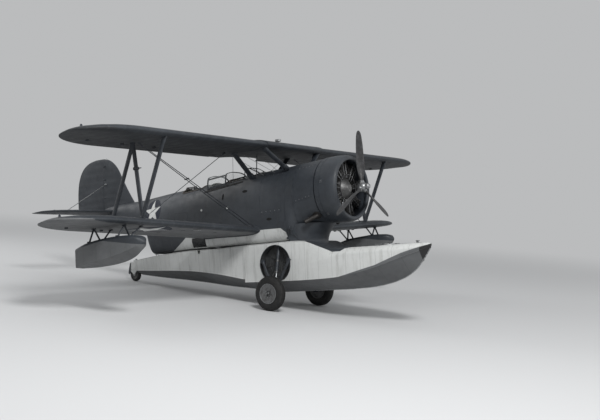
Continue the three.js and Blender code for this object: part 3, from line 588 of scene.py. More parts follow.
finishes = {
    "blueGrey": sheetMetal("blue grey metal", "hull_paint", coat("blueGrey")),
    "twoTone": sheetMetal("fuselage metal", "hull_paint", bodyPaint),
    "lightGrey": sheetMetal("float metal", "float_paint", hullSidePaint, 0.34),
    "plainLight": sheetMetal("light grey metal", "float_paint", coat("lightGrey"), 0.34),
    "floatBottom": sheetMetal("float bottom metal", "under_paint", bottomPaint, 0.5),
    "tipFloat": sheetMetal("small float metal", "under_paint", tipFloatPaint, 0.38, 0.03, 0.16),
    "cowl": sheetMetal("cowl metal", "hull_paint", coat("blueGrey"), 0.9, 0.05, 9),
    "blueFabric": dopedFabric("blue grey fabric", "blueGrey"),
    # the lower wing's underside: grey darkened as painted shade
    "underFabric": dopedFabric("grey fabric", "underGrey"),
    # the upper wing's underside: painted shadow
    "paintedShadowFabric": dopedFabric("painted shadow fabric", "shade"),
    "tailFabric": dopedFabric("tail fabric", "blueGrey"),
    "tyre": tyreRubber(),
    "leather": wornLeather(),
    "webbing": webbing(),
    "pane": clearPane("window pane", (0.75, 0.80, 0.80), 0.09),
    # nearly opaque and near black: painted shade of the space behind the cabin window
    "darkPane": clearPane("cabin window pane", (0.012, 0.013, 0.014), 0.72),
}
plainLook = {
    # material, slot, tone, tone of the grime, roughness, metallic, scale of the grime, relief
    "steel": ("bare steel", "bare_steel", (0.36, 0.37, 0.38), (0.14, 0.135, 0.13)),
    "burntSteel": (
        "burnt steel", "bare_steel", (0.055, 0.052, 0.050), (0.022, 0.020, 0.019), (0.5, 0.75), 0.85, 22,
    ),
    "castMetal": (
        "cast metal", "bare_steel", (0.16, 0.16, 0.16), (0.05, 0.048, 0.046), (0.42, 0.62), 0.9, 60, 0.0012,
    ),
    "hubPaint": (
        "wheel grey", "bare_steel", (0.13, 0.132, 0.135), (0.06, 0.058, 0.055), (0.4, 0.6), 0.3, 16,
    ),
    "strut": ("painted strut", "hull_paint", *paintLook["blueGrey"][:2], (0.45, 0.62), 0.0, 9),
    "disc": (
        "dark blue enamel", "hull_paint", (0.010, 0.014, 0.026), (0.022, 0.027, 0.038), (0.70, 0.86), 0.0, 14,
    ),
    "white": ("white enamel", "float_paint", (0.62, 0.63, 0.62), (0.45, 0.45, 0.44), (0.62, 0.8), 0.0, 14),
    # near black inside the wheel wells: their primer, darkened as painted shade in the recess
    "wellPaint": (
        "well paint", "float_paint", (0.045, 0.047, 0.048), (0.02, 0.02, 0.02), (0.5, 0.7), 0.0, 12,
    ),
    "interior": (
        "cockpit paint", "cockpit_paint", (0.050, 0.062, 0.044), (0.026, 0.031, 0.023), (0.5, 0.7), 0.0, 12,
    ),
    "dark": ("black lacquer", "dark_metal", (0.014, 0.014, 0.015), (0.032, 0.032, 0.034), (0.35, 0.55), 0.0),
    "blade": (
        "blade black", "dark_metal", (0.016, 0.016, 0.017), (0.045, 0.045, 0.048), (0.38, 0.55), 0.0, 14,
    ),
    # near black flat patches standing in for open slots: painted shade where no recess is cut
    "slotBlack": (
        "painted slot shadow", "dark_metal", (0.003, 0.003, 0.003), (0.005, 0.005, 0.005), (0.9, 1.0), 0.0,
    ),
}
finishes.update({key: plainMetal(*row) for key, row in plainLook.items()})
print("finishes made:", len(finishes))

# Camera at the photograph's place beside the airframe: level metres, degrees, and the lens in pixels
# of a picture 600 pixels wide
cameraLook = {
    "place": (-9.19118, -17.39707, 0.4344), "azimuth": 35.474, "elevation": 3.655, "roll": -3.281,
    "focal": 962.0, "width": 600.0, "sensor": 36.0,
}
stageLook = {
    "radius": 600.0, "corners": 96, "tone": (0.58, 0.585, 0.59), "roughness": 0.9,
    "world": (0.80, 0.81, 0.82),
    "worldStrength": 0.62, "fadeFrom": 11.0, "fadeTo": 34.0,
}
lampLook = {
    # place, watts, size, towards
    "key": ((13, -11, 15), 2900, 4.5, (0, 0, 1.4)),
    "fill": ((16, 14, 7), 500, 12.0, (0, 0, 1.6)),
    "back": ((-15, -4, 10), 700, 9.0, (0, 0, 1.6)),
}


def placeAt(obj, axes, at):
    # the axes are the object's own x, y and z
    matrix = np.eye(4)
    matrix[:3, :3] = np.stack(axes, axis=1)
    matrix[:3, 3] = at
    obj.matrix_world = mathutils.Matrix(matrix.tolist())


def makeCamera():
    look = cameraLook
    azimuth, elevation, roll = (math.radians(look[key]) for key in ("azimuth", "elevation", "roll"))
    flat = np.array([math.cos(azimuth), math.sin(azimuth), 0.0])
    view = np.array([-flat[1] * math.cos(elevation), flat[0] * math.cos(elevation), math.sin(elevation)])
    right = flat * math.cos(roll) + np.cross(flat, view) * math.sin(roll)
    data = bpy.data.cameras.new("camera")
    data.sensor_width = look["sensor"]
    data.lens = look["focal"] / look["width"] * look["sensor"]
    data.clip_end = 2000
    obj = newObject("camera", data)
    placeAt(
        obj, np.stack([right, np.cross(right, view), -view]) @ turnIntoPart, toPart(spot(*look["place"])),
    )
    bpy.context.scene.camera = obj


def makeFloor():
    # far from the object the floor glows as bright as the world, so that no horizon shows
    look = stageLook
    floor = bpy.data.meshes.new("floor")
    turn = fullTurn(look["corners"])
    ring = np.stack([np.cos(turn), np.sin(turn), 0 * turn], axis=-1) * look["radius"]
    floor.from_pydata(ring.tolist(), [], [list(range(look["corners"]))])
    material = bpy.data.materials.new("floor")
    material.use_nodes = True
    tree = material.node_tree
    kinds = ("Emission", "TexCoord", "VectorMath", "MapRange", "MixShader")
    glow, place, far, fade, blend = (tree.nodes.new("ShaderNode" + kind) for kind in kinds)
    shader, output = tree.nodes["Principled BSDF"], tree.nodes["Material Output"]
    far.operation = "LENGTH"
    fade.interpolation_type = "SMOOTHSTEP"
    settings = (
        (shader, "Base Color", (*look["tone"], 1)), (shader, "Roughness", look["roughness"]),
        (glow, "Color", (*look["world"], 1)), (glow, "Strength", look["worldStrength"]),
        (fade, "From Min", look["fadeFrom"]), (fade, "From Max", look["fadeTo"]),
    )
    for node, name, value in settings:
        node.inputs[name].default_value = value
    links = (
        (place.outputs["Object"], far.inputs[0]), (far.outputs["Value"], fade.inputs["Value"]),
        (fade.outputs[0], blend.inputs[0]), (shader.outputs[0], blend.inputs[1]),
        (glow.outputs[0], blend.inputs[2]), (blend.outputs[0], output.inputs[0]),
    )
    for source, target in links:
        tree.links.new(source, target)
    floor.materials.append(material)
    newObject("floor", floor)


def makeLight():
    world = bpy.data.worlds.new("studio")
    world.use_nodes = True
    background = world.node_tree.nodes["Background"]
    background.inputs[0].default_value = (*stageLook["world"], 1)
    background.inputs[1].default_value = stageLook["worldStrength"]
    bpy.context.scene.world = world
    bpy.context.scene.view_settings.view_transform = "Standard"
    for name, (place, power, size, target) in lampLook.items():
        lamp = bpy.data.lights.new(name, "AREA")
        lamp.energy, lamp.size = power, size
        back = unit(np.array(place, float) - np.array(target, float))
        side = unit(np.cross([0, 0, 1], back))
        placeAt(newObject(name, lamp), [side, np.cross(back, side), back], place)


makeCamera()
makeFloor()
makeLight()

sides = {"left": 1, "right": -1}
barAxes = {"flat": np.eye(3), "upright": np.array([[1.0, 0, 0], [0, 0, 1], [0, 1, 0]])}


def onBothSides(name, shape, finish, body="airframe", stands=(), **settings):
    # a piece made to port and its mirror image to starboard; * is the side in the names of nodes
    shape = joined(shape)
    for side, sign in sides.items():
        made = shape if sign > 0 else mirrored(shape)
        nodes = [node.replace("*", side) for node in stands]
        piece(f"{name}_{side}", made, finish, body=body.replace("*", side), stands=nodes, **settings)


def cornersOf(*pairs):
    # corners[ring, k] from pairs of arrays, one value for each ring
    return np.stack([np.stack(pair, -1) for pair in pairs], axis=1)


def roundedOutline(corners, radii, steps=6):
    # corners[ring, k] are joined by straight lines, and each inner corner is rounded by a quadratic
    # curve between the points that lie its radius away along the two lines
    parts = [corners[:, :1]]
    for k, radius in enumerate(radii, 1):
        corner = corners[:, k]
        if not radius:
            parts.append(corner[:, None])
            continue
        ends = []
        for other in (corners[:, k - 1], corners[:, k + 1]):
            way = other - corner
            length = np.maximum(np.linalg.norm(way, axis=-1, keepdims=True), 1e-9)
            ends.append((corner + way * np.minimum(0.45, radius / length))[:, None])
        parts.append(bent(ends[0], corner[:, None], ends[1], steps))
    return np.concatenate(parts + [corners[:, -1:]], axis=1)


def acrossKeel(half):
    # a half outline of (out, up) points from the keel to the middle of the deck, made whole
    return np.concatenate([half, half[:, -2:0:-1] * [-1, 1]], axis=1)


def roundRect(low, high, radius, steps=6):
    # an outline of (a, b) points: a rectangle with its four corners turned on quarter circles
    turn = np.linspace(0, np.pi / 2, steps)
    arc = np.stack([np.cos(turn), np.sin(turn)], axis=-1) * radius
    quarter = [arc, arc[::-1] * [-1, 1], -arc, arc[::-1] * [1, -1]]
    low, high = np.asarray(low) + radius, np.asarray(high) - radius
    middles = [(high[0], high[1]), (low[0], high[1]), (low[0], low[1]), (high[0], low[1])]
    return np.concatenate([bend + middle for bend, middle in zip(quarter, middles)])


# Main float
hullRows = [
    # aft, keel up, chine out, chine up, knee out, knee up, deck out, deck up, crown
    [0, 0.790, 0.025, 0.812, 0.032, 0.835, 0.026, 0.862, 0.004],
    [0.07, 0.690, 0.105, 0.772, 0.120, 0.818, 0.092, 0.864, 0.010],
    [0.15, 0.585, 0.175, 0.732, 0.203, 0.800, 0.160, 0.865, 0.014],
    [0.39, 0.330, 0.325, 0.648, 0.350, 0.788, 0.280, 0.864, 0.022],
    [0.70, 0.165, 0.440, 0.545, 0.455, 0.780, 0.370, 0.860, 0.026],
    [1.16, 0.055, 0.545, 0.412, 0.545, 0.776, 0.450, 0.858, 0.026],
    [1.57, 0.015, 0.590, 0.330, 0.585, 0.760, 0.490, 0.862, 0.024],
    [2.05, 0, 0.613, 0.275, 0.606, 0.705, 0.524, 0.870, 0.020],
    [2.40, 0, 0.618, 0.262, 0.613, 0.635, 0.562, 0.970, -0.056],
    [2.72, 0, 0.620, 0.257, 0.618, 0.575, 0.592, 1.082, 0],
    [3.08, 0, 0.620, 0.255, 0.620, 0.520, 0.610, 1.100, 0],
    [4.380, 0.005, 0.620, 0.268, 0.619, 0.620, 0.610, 1.086, 0],
    [4.384, 0.082, 0.616, 0.336, 0.617, 0.640, 0.610, 1.086, 0],
    [5.28, 0.192, 0.575, 0.500, 0.584, 0.760, 0.590, 1.062, 0.012],
    [6.00, 0.303, 0.520, 0.590, 0.540, 0.810, 0.555, 1.066, 0.014],
    [6.80, 0.408, 0.435, 0.640, 0.460, 0.830, 0.480, 1.040, 0.014],
    [7.50, 0.493, 0.335, 0.668, 0.358, 0.830, 0.375, 1.000, 0.012],
    [8.18, 0.590, 0.215, 0.700, 0.228, 0.820, 0.235, 0.945, 0.010],
]
hullLook = {"step": 4.382, "spacing": 0.06, "bottomBend": 0.35, "kneeBend": 0.035, "deckBend": 0.04}
wellLook = {
    "aft": 3.515, "up": 0.632, "radius": 0.405, "inner": 0.43, "deep": 0.4,
    "spokes": 8, "spoke": (0.06, 0.395), "hoops": (0.13, 0.27, 0.395),
}
hullParts = [[row for row in hullRows if (row[0] > hullLook["step"]) == rear] for rear in (False, True)]


def hullAt(aft):
    aft = np.asarray(aft, float)
    fore, rear = (smoothRows(rows, aft) for rows in hullParts)
    return np.where(aft[:, None] < hullLook["step"], fore, rear)


def hullHalf(numbers):
    # from the keel out to the chine, up over the knee and the deck's edge, and in to the middle
    keel, chineY, chineZ, kneeY, kneeZ, deckY, deckZ, crown = numbers.T
    corners = cornersOf(
        (0 * keel, keel), (chineY * 0.5, keel + (chineZ - keel) * 0.44), (chineY, chineZ), (kneeY, kneeZ),
        (deckY, deckZ), (deckY * 0.6, deckZ + crown * 0.9), (0 * keel, deckZ + crown),
    )
    return roundedOutline(
        corners, [hullLook["bottomBend"], 0, hullLook["kneeBend"], hullLook["deckBend"], 0.2],
    )


def makeHull():
    well = wellLook
    at = np.concatenate([stationsOf(rows, hullLook["spacing"]) for rows in hullParts])
    ring = acrossKeel(hullHalf(hullAt(at)))
    hull = skin(spot(at[:, None], ring[..., 0], ring[..., 1]))
    for sign in sides.values():
        centre = spot(well["aft"], sign * well["inner"], well["up"])
        hull = cut(hull, barrel(well["radius"], 0, well["deep"], centre, (0, sign, 0), 96))

    def finishAt(aft, port, up):
        # 0 on the sides and the deck, 1 on the bottom and 2 inside the wells, which are painted shade
        away = np.hypot(aft - well["aft"], up - well["up"])
        bottom = (up < hullAt(aft)[:, 2] - 0.003) & (away > well["radius"] + 0.004)
        inside = (away < well["radius"] + 0.0005) & (np.abs(port) > well["inner"] - 0.0005)
        return np.where(inside, 2, bottom)

    piece(
        "float_skin", hull, ["lightGrey", "floatBottom", "wellPaint"], stands=["float_hull"], groups=finishAt,
    )


# Fuselage
bodyRows = [
    # aft, half width, top, bottom, squareness above, squareness below
    [2.340, 0.700, 2.856, 1.456, 2.0, 2.0],
    [2.600, 0.694, 2.836, 1.400, 2.1, 2.1],
    [2.900, 0.680, 2.812, 1.290, 2.2, 2.4],
    [3.150, 0.662, 2.790, 1.104, 2.3, 5.0],
    [4.200, 0.605, 2.722, 1.096, 2.4, 7.0],
    [5.100, 0.565, 2.648, 1.086, 2.4, 8.0],
    [6.000, 0.522, 2.585, 1.094, 2.3, 8.0],
    [6.700, 0.470, 2.545, 1.080, 2.2, 6.0],
    [7.250, 0.415, 2.500, 1.052, 2.2, 4.0],
    [7.560, 0.372, 2.470, 1.060, 2.2, 3.4],
    [7.640, 0.362, 2.462, 1.300, 2.2, 2.6],
    [7.800, 0.345, 2.445, 1.590, 2.1, 2.1],
    [8.500, 0.262, 2.420, 1.800, 2.1, 2.1],
    [9.100, 0.150, 2.398, 1.960, 2.1, 2.1],
    [9.336, 0.092, 2.389, 2.020, 2.1, 2.1],
]
bodyLook = {
    "middle": 0.52, "points": 128, "spacing": 0.05, "wall": 0.03, "firewall": 3.15, "joint": 7.25,
    "end": 9.336,
}


def bodyMiddle(top, bottom):
    return bottom + (top - bottom) * bodyLook["middle"]


def onBody(aft, turn, inset=0.0):
    # for each direction, the distance at which |y|^n + |z|^n is 1 in a square, then stretched
    aft, turn = paired(aft, turn)
    half, top, bottom, above, below = smoothRows(bodyRows, aft.ravel()).T.reshape(5, *aft.shape)
    power = np.where(np.sin(turn) > 0, above, below)
    reach = (np.abs(np.cos(turn)) ** power + np.abs(np.sin(turn)) ** power) ** (-1 / power)
    middle = bodyMiddle(top, bottom)
    tall = np.where(np.sin(turn) > 0, top - middle, middle - bottom) - inset
    return spot(aft, (half - inset) * np.cos(turn) * reach, middle + tall * np.sin(turn) * reach)


def bodySide(aft, up):
    # how far out the skin is at a height
    half, top, bottom, above, below = smoothRows(bodyRows, np.ravel(aft)).T
    up = np.ravel(up)
    middle = bodyMiddle(top, bottom)
    high = up > middle
    share = np.clip(np.abs(up - middle) / np.where(high, top - middle, middle - bottom), 0, 1)
    power = np.where(high, above, below)
    return half * (1 - share**power) ** (1 / power)


def bodyTop(aft, port):
    # how high the skin is at a distance out
    half, top, bottom, above, _ = smoothRows(bodyRows, np.ravel(aft)).T
    middle = bodyMiddle(top, bottom)
    share = np.clip(np.abs(np.ravel(port)) / half, 0, 1)
    return middle + (top - middle) * (1 - share**above) ** (1 / above)


def bodyStretch(fore, aft, inset=0.0):
    at = np.linspace(fore, aft, math.ceil((aft - fore) / bodyLook["spacing"]) + 1)
    return skin(onBody(at[:, None], fullTurn(bodyLook["points"]), inset))


prowRows = [
    # up, nose aft
    [0.840, 2.250],
    [0.900, 2.380],
    [0.980, 2.530],
    [1.090, 2.605],
    [1.200, 2.570],
    [1.330, 2.470],
    [1.470, 2.345],
]
prowLook = {"half": 0.56, "flare": 0.02 / 0.63, "rings": 40, "points": 49}
cockpitCuts = [
    # fore, aft, half width
    [4.455, 4.945, 0.340],
    [4.985, 5.525, 0.335],
    [5.780, 6.430, 0.300],
]
cabinLook = {"fore": 3.19, "aft": 6.9, "corner": 0.07, "inside": 0.012, "low": 1.1, "high": 2.77}
windowCut = {"fore": 5.56, "aft": 6.003, "low": 1.125, "high": 1.35, "corner": 0.02}


def makeFuselage():
    back, joint, end = (bodyLook[key] for key in ("firewall", "joint", "end"))
    up = np.linspace(prowRows[0][0], prowRows[-1][0], prowLook["rings"])
    nose = smoothRows(prowRows, up)
    turn = np.linspace(-np.pi / 2, np.pi / 2, prowLook["points"])[None]
    wide = prowLook["half"] + (up[:, None] - prowRows[0][0]) * prowLook["flare"]
    prow = skin(spot(back - (back - nose) * np.cos(turn), wide * np.sin(turn), up[:, None]))
    front = cut(bodyStretch(bodyRows[0][0], back), prow, "UNION")
    piece("forward_skin", front, "blueGrey", stands=["forward_fuselage"], crease=40)

    look = cabinLook
    cabin = cut(bodyStretch(back, joint), bodyStretch(look["fore"], look["aft"], bodyLook["wall"]))
    for fore, aft, half in cockpitCuts:
        outline = roundRect((-aft, -half), (-fore, half), look["corner"])
        cabin = cut(cabin, plate(outline, 0.9, (0, 0, 2.75), barAxes["flat"]))
    w = windowCut
    outline = roundRect((-w["aft"], w["low"]), (-w["fore"], w["high"]), w["corner"])
    cabin = cut(cabin, plate(outline, 2, (0, 0, 0), barAxes["upright"]))

    def isInside(aft, port, up):
        run = (aft > look["fore"] - 0.02) & (aft < look["aft"] + 0.01)
        height = (up > look["low"]) & (up < look["high"])
        return (np.abs(port) < bodySide(aft, up) - look["inside"]) & run & height

    piece("cabin_skin", cabin, ["twoTone", "interior"], stands=["cabin_shell"], groups=isInside)
    piece("tail_skin", bodyStretch(joint, end), "blueGrey", stands=["tail_cone"])


# Cowl
cowlLook = {"front": 1.78, "rear": 2.31, "lip": 0.655, "widest": 0.725, "tail": 0.712, "wall": 0.02}


def makeCowl():
    lip, widest, tail, wall = (cowlLook[key] for key in ("lip", "widest", "tail", "wall"))
    long = cowlLook["rear"] - cowlLook["front"]
    rows = np.array([
        # radius, distance ahead of the rear edge
        [lip - 0.045, long - 0.060],
        [lip - 0.048, long - 0.025],
        [lip - 0.030, long - 0.004],
        [lip, long],
        [lip + 0.032, long - 0.020],
        [lip + 0.054, long - 0.070],
        [widest - 0.003, long - 0.150],
        [widest, long - 0.250],
        [tail, 0],
    ])
    arc = arcOf(rows)
    outside = smoothRows(np.column_stack([arc, rows]), np.linspace(0, arc[-1], 60))
    inside = [[tail - wall, 0], [widest - wall, long - 0.25], [widest - wall - 0.006, long - 0.15]]
    centre = spot(cowlLook["rear"], 0, hub["up"])
    cowl = lathe(np.concatenate([outside, inside]), centre, (1, 0, 0), 144, closed=True)
    piece("cowl_skin", cowl, "cowl", stands=["engine_cowl"])


# Engine: profiles are radius, distance out or ahead; the cylinders' parts lie (ahead, aside, out)
engineLook = {
    "aft": 2.06, "cylinders": 9, "cylinderAft": 2.07, "fins": 26, "finFoot": (0.26, 0.60), "headFrom": 0.43,
    "barrel": 0.078, "fin": 0.104, "head": 0.112, "bolts": 36, "boltRing": 0.226, "harness": 0.30,
    "case": [
        (0, -0.26), (0.25, -0.26), (0.25, 0.03), (0.24, 0.05), (0.216, 0.085), (0.17, 0.12), (0.15, 0.15),
        (0.10, 0.175), (0.075, 0.198), (0, 0.2),
    ],
    "foot": [(0, 0.2), (0.092, 0.2), (0.092, 0.235), (0.08, 0.245)], "top": [
        (0.085, 0.605), (0.06, 0.632), (0, 0.64),
    ],
    "baffle": [(0.30, -0.07), (0.675, -0.07), (0.675, -0.074), (0.30, -0.074)],
    "rodFoot": (0.125, 0.035, 0.235), "rocker": (0.055, 0.062, 0.585), "rockerSize": (0.10, 0.056, 0.07),
    "plug": (0.095, 0, 0.545), "tap": (0.16, 0.06, 0.30),
}


def cylinderProfile():
    # the foot, a row of fins that are wider at the head, and the top
    look = engineLook
    foot = np.linspace(*look["finFoot"], look["fins"], endpoint=False)
    pitch = foot[1] - foot[0]
    inner = np.where(foot < look["headFrom"], look["barrel"], look["barrel"] + 0.008)
    outer = np.where(foot < look["headFrom"], look["fin"], look["head"])
    fins = cornersOf(
        (inner, foot), (outer, foot + pitch * 0.1), (outer, foot + pitch * 0.3), (inner, foot + pitch * 0.42),
    )
    return np.concatenate([look["foot"], fins.reshape(-1, 2), look["top"]])


def makeEngine():
    look = engineLook
    centre, base = (spot(look[key], 0, hub["up"]) for key in ("aft", "cylinderAft"))
    case = [lathe(look["case"], centre, (1, 0, 0), 64)]
    for turn in fullTurn(look["bolts"]):
        at = centre + np.array([0, np.cos(turn), np.sin(turn)]) * look["boltRing"]
        case.append(rod(at + [0.07, 0, 0], at + [0.088, 0, 0], 0.007, 6))
    piece("engine_case", case, "castMetal", stands=["engine"])
    profile = cylinderProfile()
    barrels, rods, boxes, leads = [], [], [], []
    for turn in fullTurn(look["cylinders"]):
        out = np.array([0, math.sin(turn), math.cos(turn)])
        aside = np.array([0, math.cos(turn), -math.sin(turn)])

        def onCylinder(key, side=1):
            ahead, across, high = look[key]
            return base + out * high + aside * side * across + [ahead, 0, 0]

        barrels.append(lathe(profile, base, out, 20))
        for side in (-1, 1):
            head = onCylinder("rocker", side)
            rods.append(rod(onCylinder("rodFoot", side), head + [0.03, 0, 0], 0.011, 8, steps=4))
            axes = np.stack([[1.0, 0, 0], aside, out])
            boxes.append(block(head + out * 0.015 + [0.01, 0, 0], look["rockerSize"], 0.014, axes))
        plug, tap = onCylinder("plug"), onCylinder("tap")
        leads.append(rod(plug, plug + [0.045, 0, 0], 0.010, 8))
        leads.append(tube(bent(plug + [0.04, 0, 0], (plug + tap) / 2 + [0.075, 0, 0], tap, 8), 0.006, 6))
    turn = np.linspace(0, 2 * np.pi, 96)
    harness = centre + np.stack(
        [0 * turn + 0.15, look["harness"] * np.sin(turn), look["harness"] * np.cos(turn)], -1,
    )
    piece("engine_cylinders", barrels, "castMetal")
    piece("engine_rocker_boxes", boxes, "dark")
    piece("engine_pushrods", rods, "steel")
    piece("engine_ignition", [tube(harness, 0.013, 8), *leads], "dark")
    piece("engine_baffle", lathe(look["baffle"], centre, (1, 0, 0), 96, closed=True), "dark")


# Propeller
bladeRows = [
    # share of the radius, chord, thickness, twist in degrees
    [0.045, 0.088, 0.084, 50],
    [0.14, 0.092, 0.076, 50],
    [0.25, 0.138, 0.044, 44],
    [0.46, 0.190, 0.026, 32],
    [0.70, 0.184, 0.018, 24],
    [0.89, 0.150, 0.013, 20],
    [0.97, 0.098, 0.010, 19],
    [0.998, 0.032, 0.006, 18],
]
propLook = {
    "radius": 1.21, "blades": 3, "root": 0.045, "end": 0.998,
    "collar": [
        (0, 0.03), (0.062, 0.03), (0.062, 0.105), (0.056, 0.112), (0.056, 0.128), (0.048, 0.135), (0, 0.135),
    ],
    "hub": [
        (0, -0.12), (0.058, -0.12), (0.088, -0.082), (0.092, -0.06), (0.092, 0.05), (0.084, 0.075),
        (0.07, 0.105),
        (0.064, 0.11), (0.062, 0.15), (0.058, 0.172), (0.045, 0.192), (0.025, 0.202), (0, 0.205),
    ],
}


def bladeShape():
    # an ellipse at the root that sharpens into a cambered section, turned by the twist
    share = np.concatenate([np.linspace(propLook["root"], 0.9, 44), np.linspace(0.905, propLook["end"], 14)])
    chord, thick, twist = smoothRows(bladeRows, share).T[..., None]
    share = share[:, None]
    turn = fullTurn(28)[None]
    sharp = np.clip((share - 0.14) / 0.15, 0, 1)
    u = np.cos(turn) * chord / 2
    v = np.sin(turn) * thick / 2 * (1 + sharp * (0.32 * np.cos(turn) - 0.1))
    v += sharp * 0.02 * chord * np.sin(turn) ** 2
    c, s = np.cos(np.radians(twist)), np.sin(np.radians(twist))
    return skin(np.stack([v * c + u * s, u * c - v * s, 0 * u + share * propLook["radius"]], -1))


def makePropeller():
    centre = spot(hub["aft"], 0, hub["up"])
    points, quads, tris = bladeShape()
    blades, collars = [], []
    for spin in fullTurn(propLook["blades"]):
        c, s = math.cos(spin), math.sin(spin)
        turned = np.array([[1, 0, 0], [0, c, s], [0, -s, c]])
        blades.append((points @ turned + centre, quads, tris))
        collars.append(lathe(propLook["collar"], centre, turned[2], 32))
    piece("propeller_blades", blades, "blade", body="propeller", stands=["propeller"])
    dome = lathe(propLook["hub"], centre, (1, 0, 0), 48)
    piece("propeller_hub", [dome, *collars], "steel", body="propeller")


# Wings
wingLook = {
    "chord": 1.70, "thickness": 0.12, "camber": 0.025, "incidence": math.radians(2.5), "halfSpan": 5.944,
    "end": 5.938, "centre": 1.05, "ribPitch": 0.305, "sag": 0.0045, "hingeLine": 0.74, "nose": 0.057,
    "aileron": (3.05, 5.33), "gap": 0.008, "wrap": 0.10, "frontRun": 1.19, "rearRun": 1.52, "waist": 0.42,
    "curveFrom": 4.9, "roots": {"upper": 1.0505, "lower": 0.54},
    "middle": (-0.012, 1.70, 1.12, 0.008),  # front, back, thickness and drop of the middle panel
    "bite": (0.38, 0.76),  # the cut in its trailing edge: behind it, radius
}
upperLead = {"aft": 3.207, "up": 3.200, "dihedral": 0.0}
lowerLead = {"aft": 3.894, "up": 1.375, "dihedral": 0.044}
wingLeads = {"upper": upperLead, "lower": lowerLead}


def camberAt(t):
    return wingLook["camber"] * 4 * t * (1 - t)


def foil(t, tail=0.098):
    # half the thickness of a section at a share of its chord, for a greatest thickness of 1
    return 5 * (0.2969 * np.sqrt(t) - 0.126 * t - 0.3516 * t * t + 0.2843 * t**3 - tail * t**4)


def roundTheNose(count):
    # shares of the chord from the trailing edge over the top to the nose and back below, and the side
    t = (1 - np.cos(np.linspace(0, np.pi, count))) / 2
    side = np.concatenate([np.ones(count), -np.ones(count - 1)])
    return np.concatenate([t[::-1], t[1:]])[None], side[None]


def sagBetween(y, pitch, t, start=0.09):
    # 1 midway between two ribs and 0 on them, fading out at the nose and the trailing edge
    return np.sin(np.pi * y / pitch) ** 2 * np.clip((t - start) / 0.08, 0, 1) * np.clip((1 - t) / 0.06, 0, 1)


def tipPlan(y):
    # the leading and trailing edges of the round tip are quarter ellipses about its waist
    def share(run):
        return np.sqrt(np.clip(1 - np.maximum(0, (y - wingLook["halfSpan"] + run) / run) ** 2, 0, 1))

    waist = wingLook["waist"] * wingLook["chord"]
    front = waist - waist * share(wingLook["frontRun"])
    return front, waist + (wingLook["chord"] - waist) * share(wingLook["rearRun"])


def placed(points, lead):
    # from the wing's own frame, leading edge at the origin, to the level frame
    c, s = math.cos(lead["dihedral"]), math.sin(lead["dihedral"])
    x, y, z = points[..., 0], points[..., 1], points[..., 2]
    return np.stack([x - lead["aft"], y * c - z * s, y * s + z * c + lead["up"]], -1)


def wingPoints(t, side, y, front=None, back=None, thin=1.0, drop=0.0, sag=True, off=0.0):
    # height above the chord line is camber plus or minus the half thickness, less the cloth's sag
    # between the ribs, all turned down by the incidence
    if front is None:
        front, back = tipPlan(y)
    long = back - front
    depth = 0
    if sag:
        depth = wingLook["sag"] * sagBetween(y, wingLook["ribPitch"], t) * (long / wingLook["chord"])
    high = (camberAt(t) + side * foil(t) * wingLook["thickness"] * thin) * long - side * depth + side * off
    run = front + t * long
    c, s = math.cos(wingLook["incidence"]), math.sin(wingLook["incidence"])
    return np.stack(np.broadcast_arrays(-run * c + high * s, y + 0 * t, drop - run * s + high * c), -1)


def wingPanel(root, lead):
    tip, bend = wingLook["halfSpan"], wingLook["curveFrom"]
    plain = np.arange(root, bend, wingLook["ribPitch"] / 8)
    curved = tip - (tip - bend) * (1 - np.sin(np.linspace(0, np.pi / 2, 44)))
    curved = curved[(curved < wingLook["end"]) & (curved > plain[-1] + 0.01)]
    y = np.concatenate([plain, curved, [wingLook["end"]]])
    return skin(placed(wingPoints(*roundTheNose(34), y[:, None]), lead))


def hingeZone(back, high, nose, ends, grow, lead=None):
    # everything behind the hinge and a round nose about it
    turn = np.linspace(np.pi / 2, 1.5 * np.pi, 25)
    radius = nose + grow
    outline = [
        [-back, high + 0.3], *np.stack([-(back + radius * np.cos(turn)), high + radius * np.sin(turn)], -1),
    ]
    outline += [[-back, high - 0.3], [-back - 1.4, high - 0.3], [-back - 1.4, high + 0.3]]
    low, top = ends[0] - grow, ends[1] + grow
    points, quads, tris = plate(outline, top - low, (0, (low + top) / 2, 0), barAxes["upright"])
    return outward((placed(points, lead) if lead else points, quads, tris))


def isUnder(lead):
    # 1 on the underside of a wing, 0 on top of it and round its nose
    def group(aft, port, up):
        run, chord = aft - lead["aft"], wingLook["chord"]
        slope = np.abs(port) * math.tan(lead["dihedral"]) - run * math.tan(wingLook["incidence"])
        line = lead["up"] + slope + camberAt(np.clip(run / chord, 0, 1)) * chord
        return (up < line - 0.002) & (run > wingLook["wrap"])

    return group


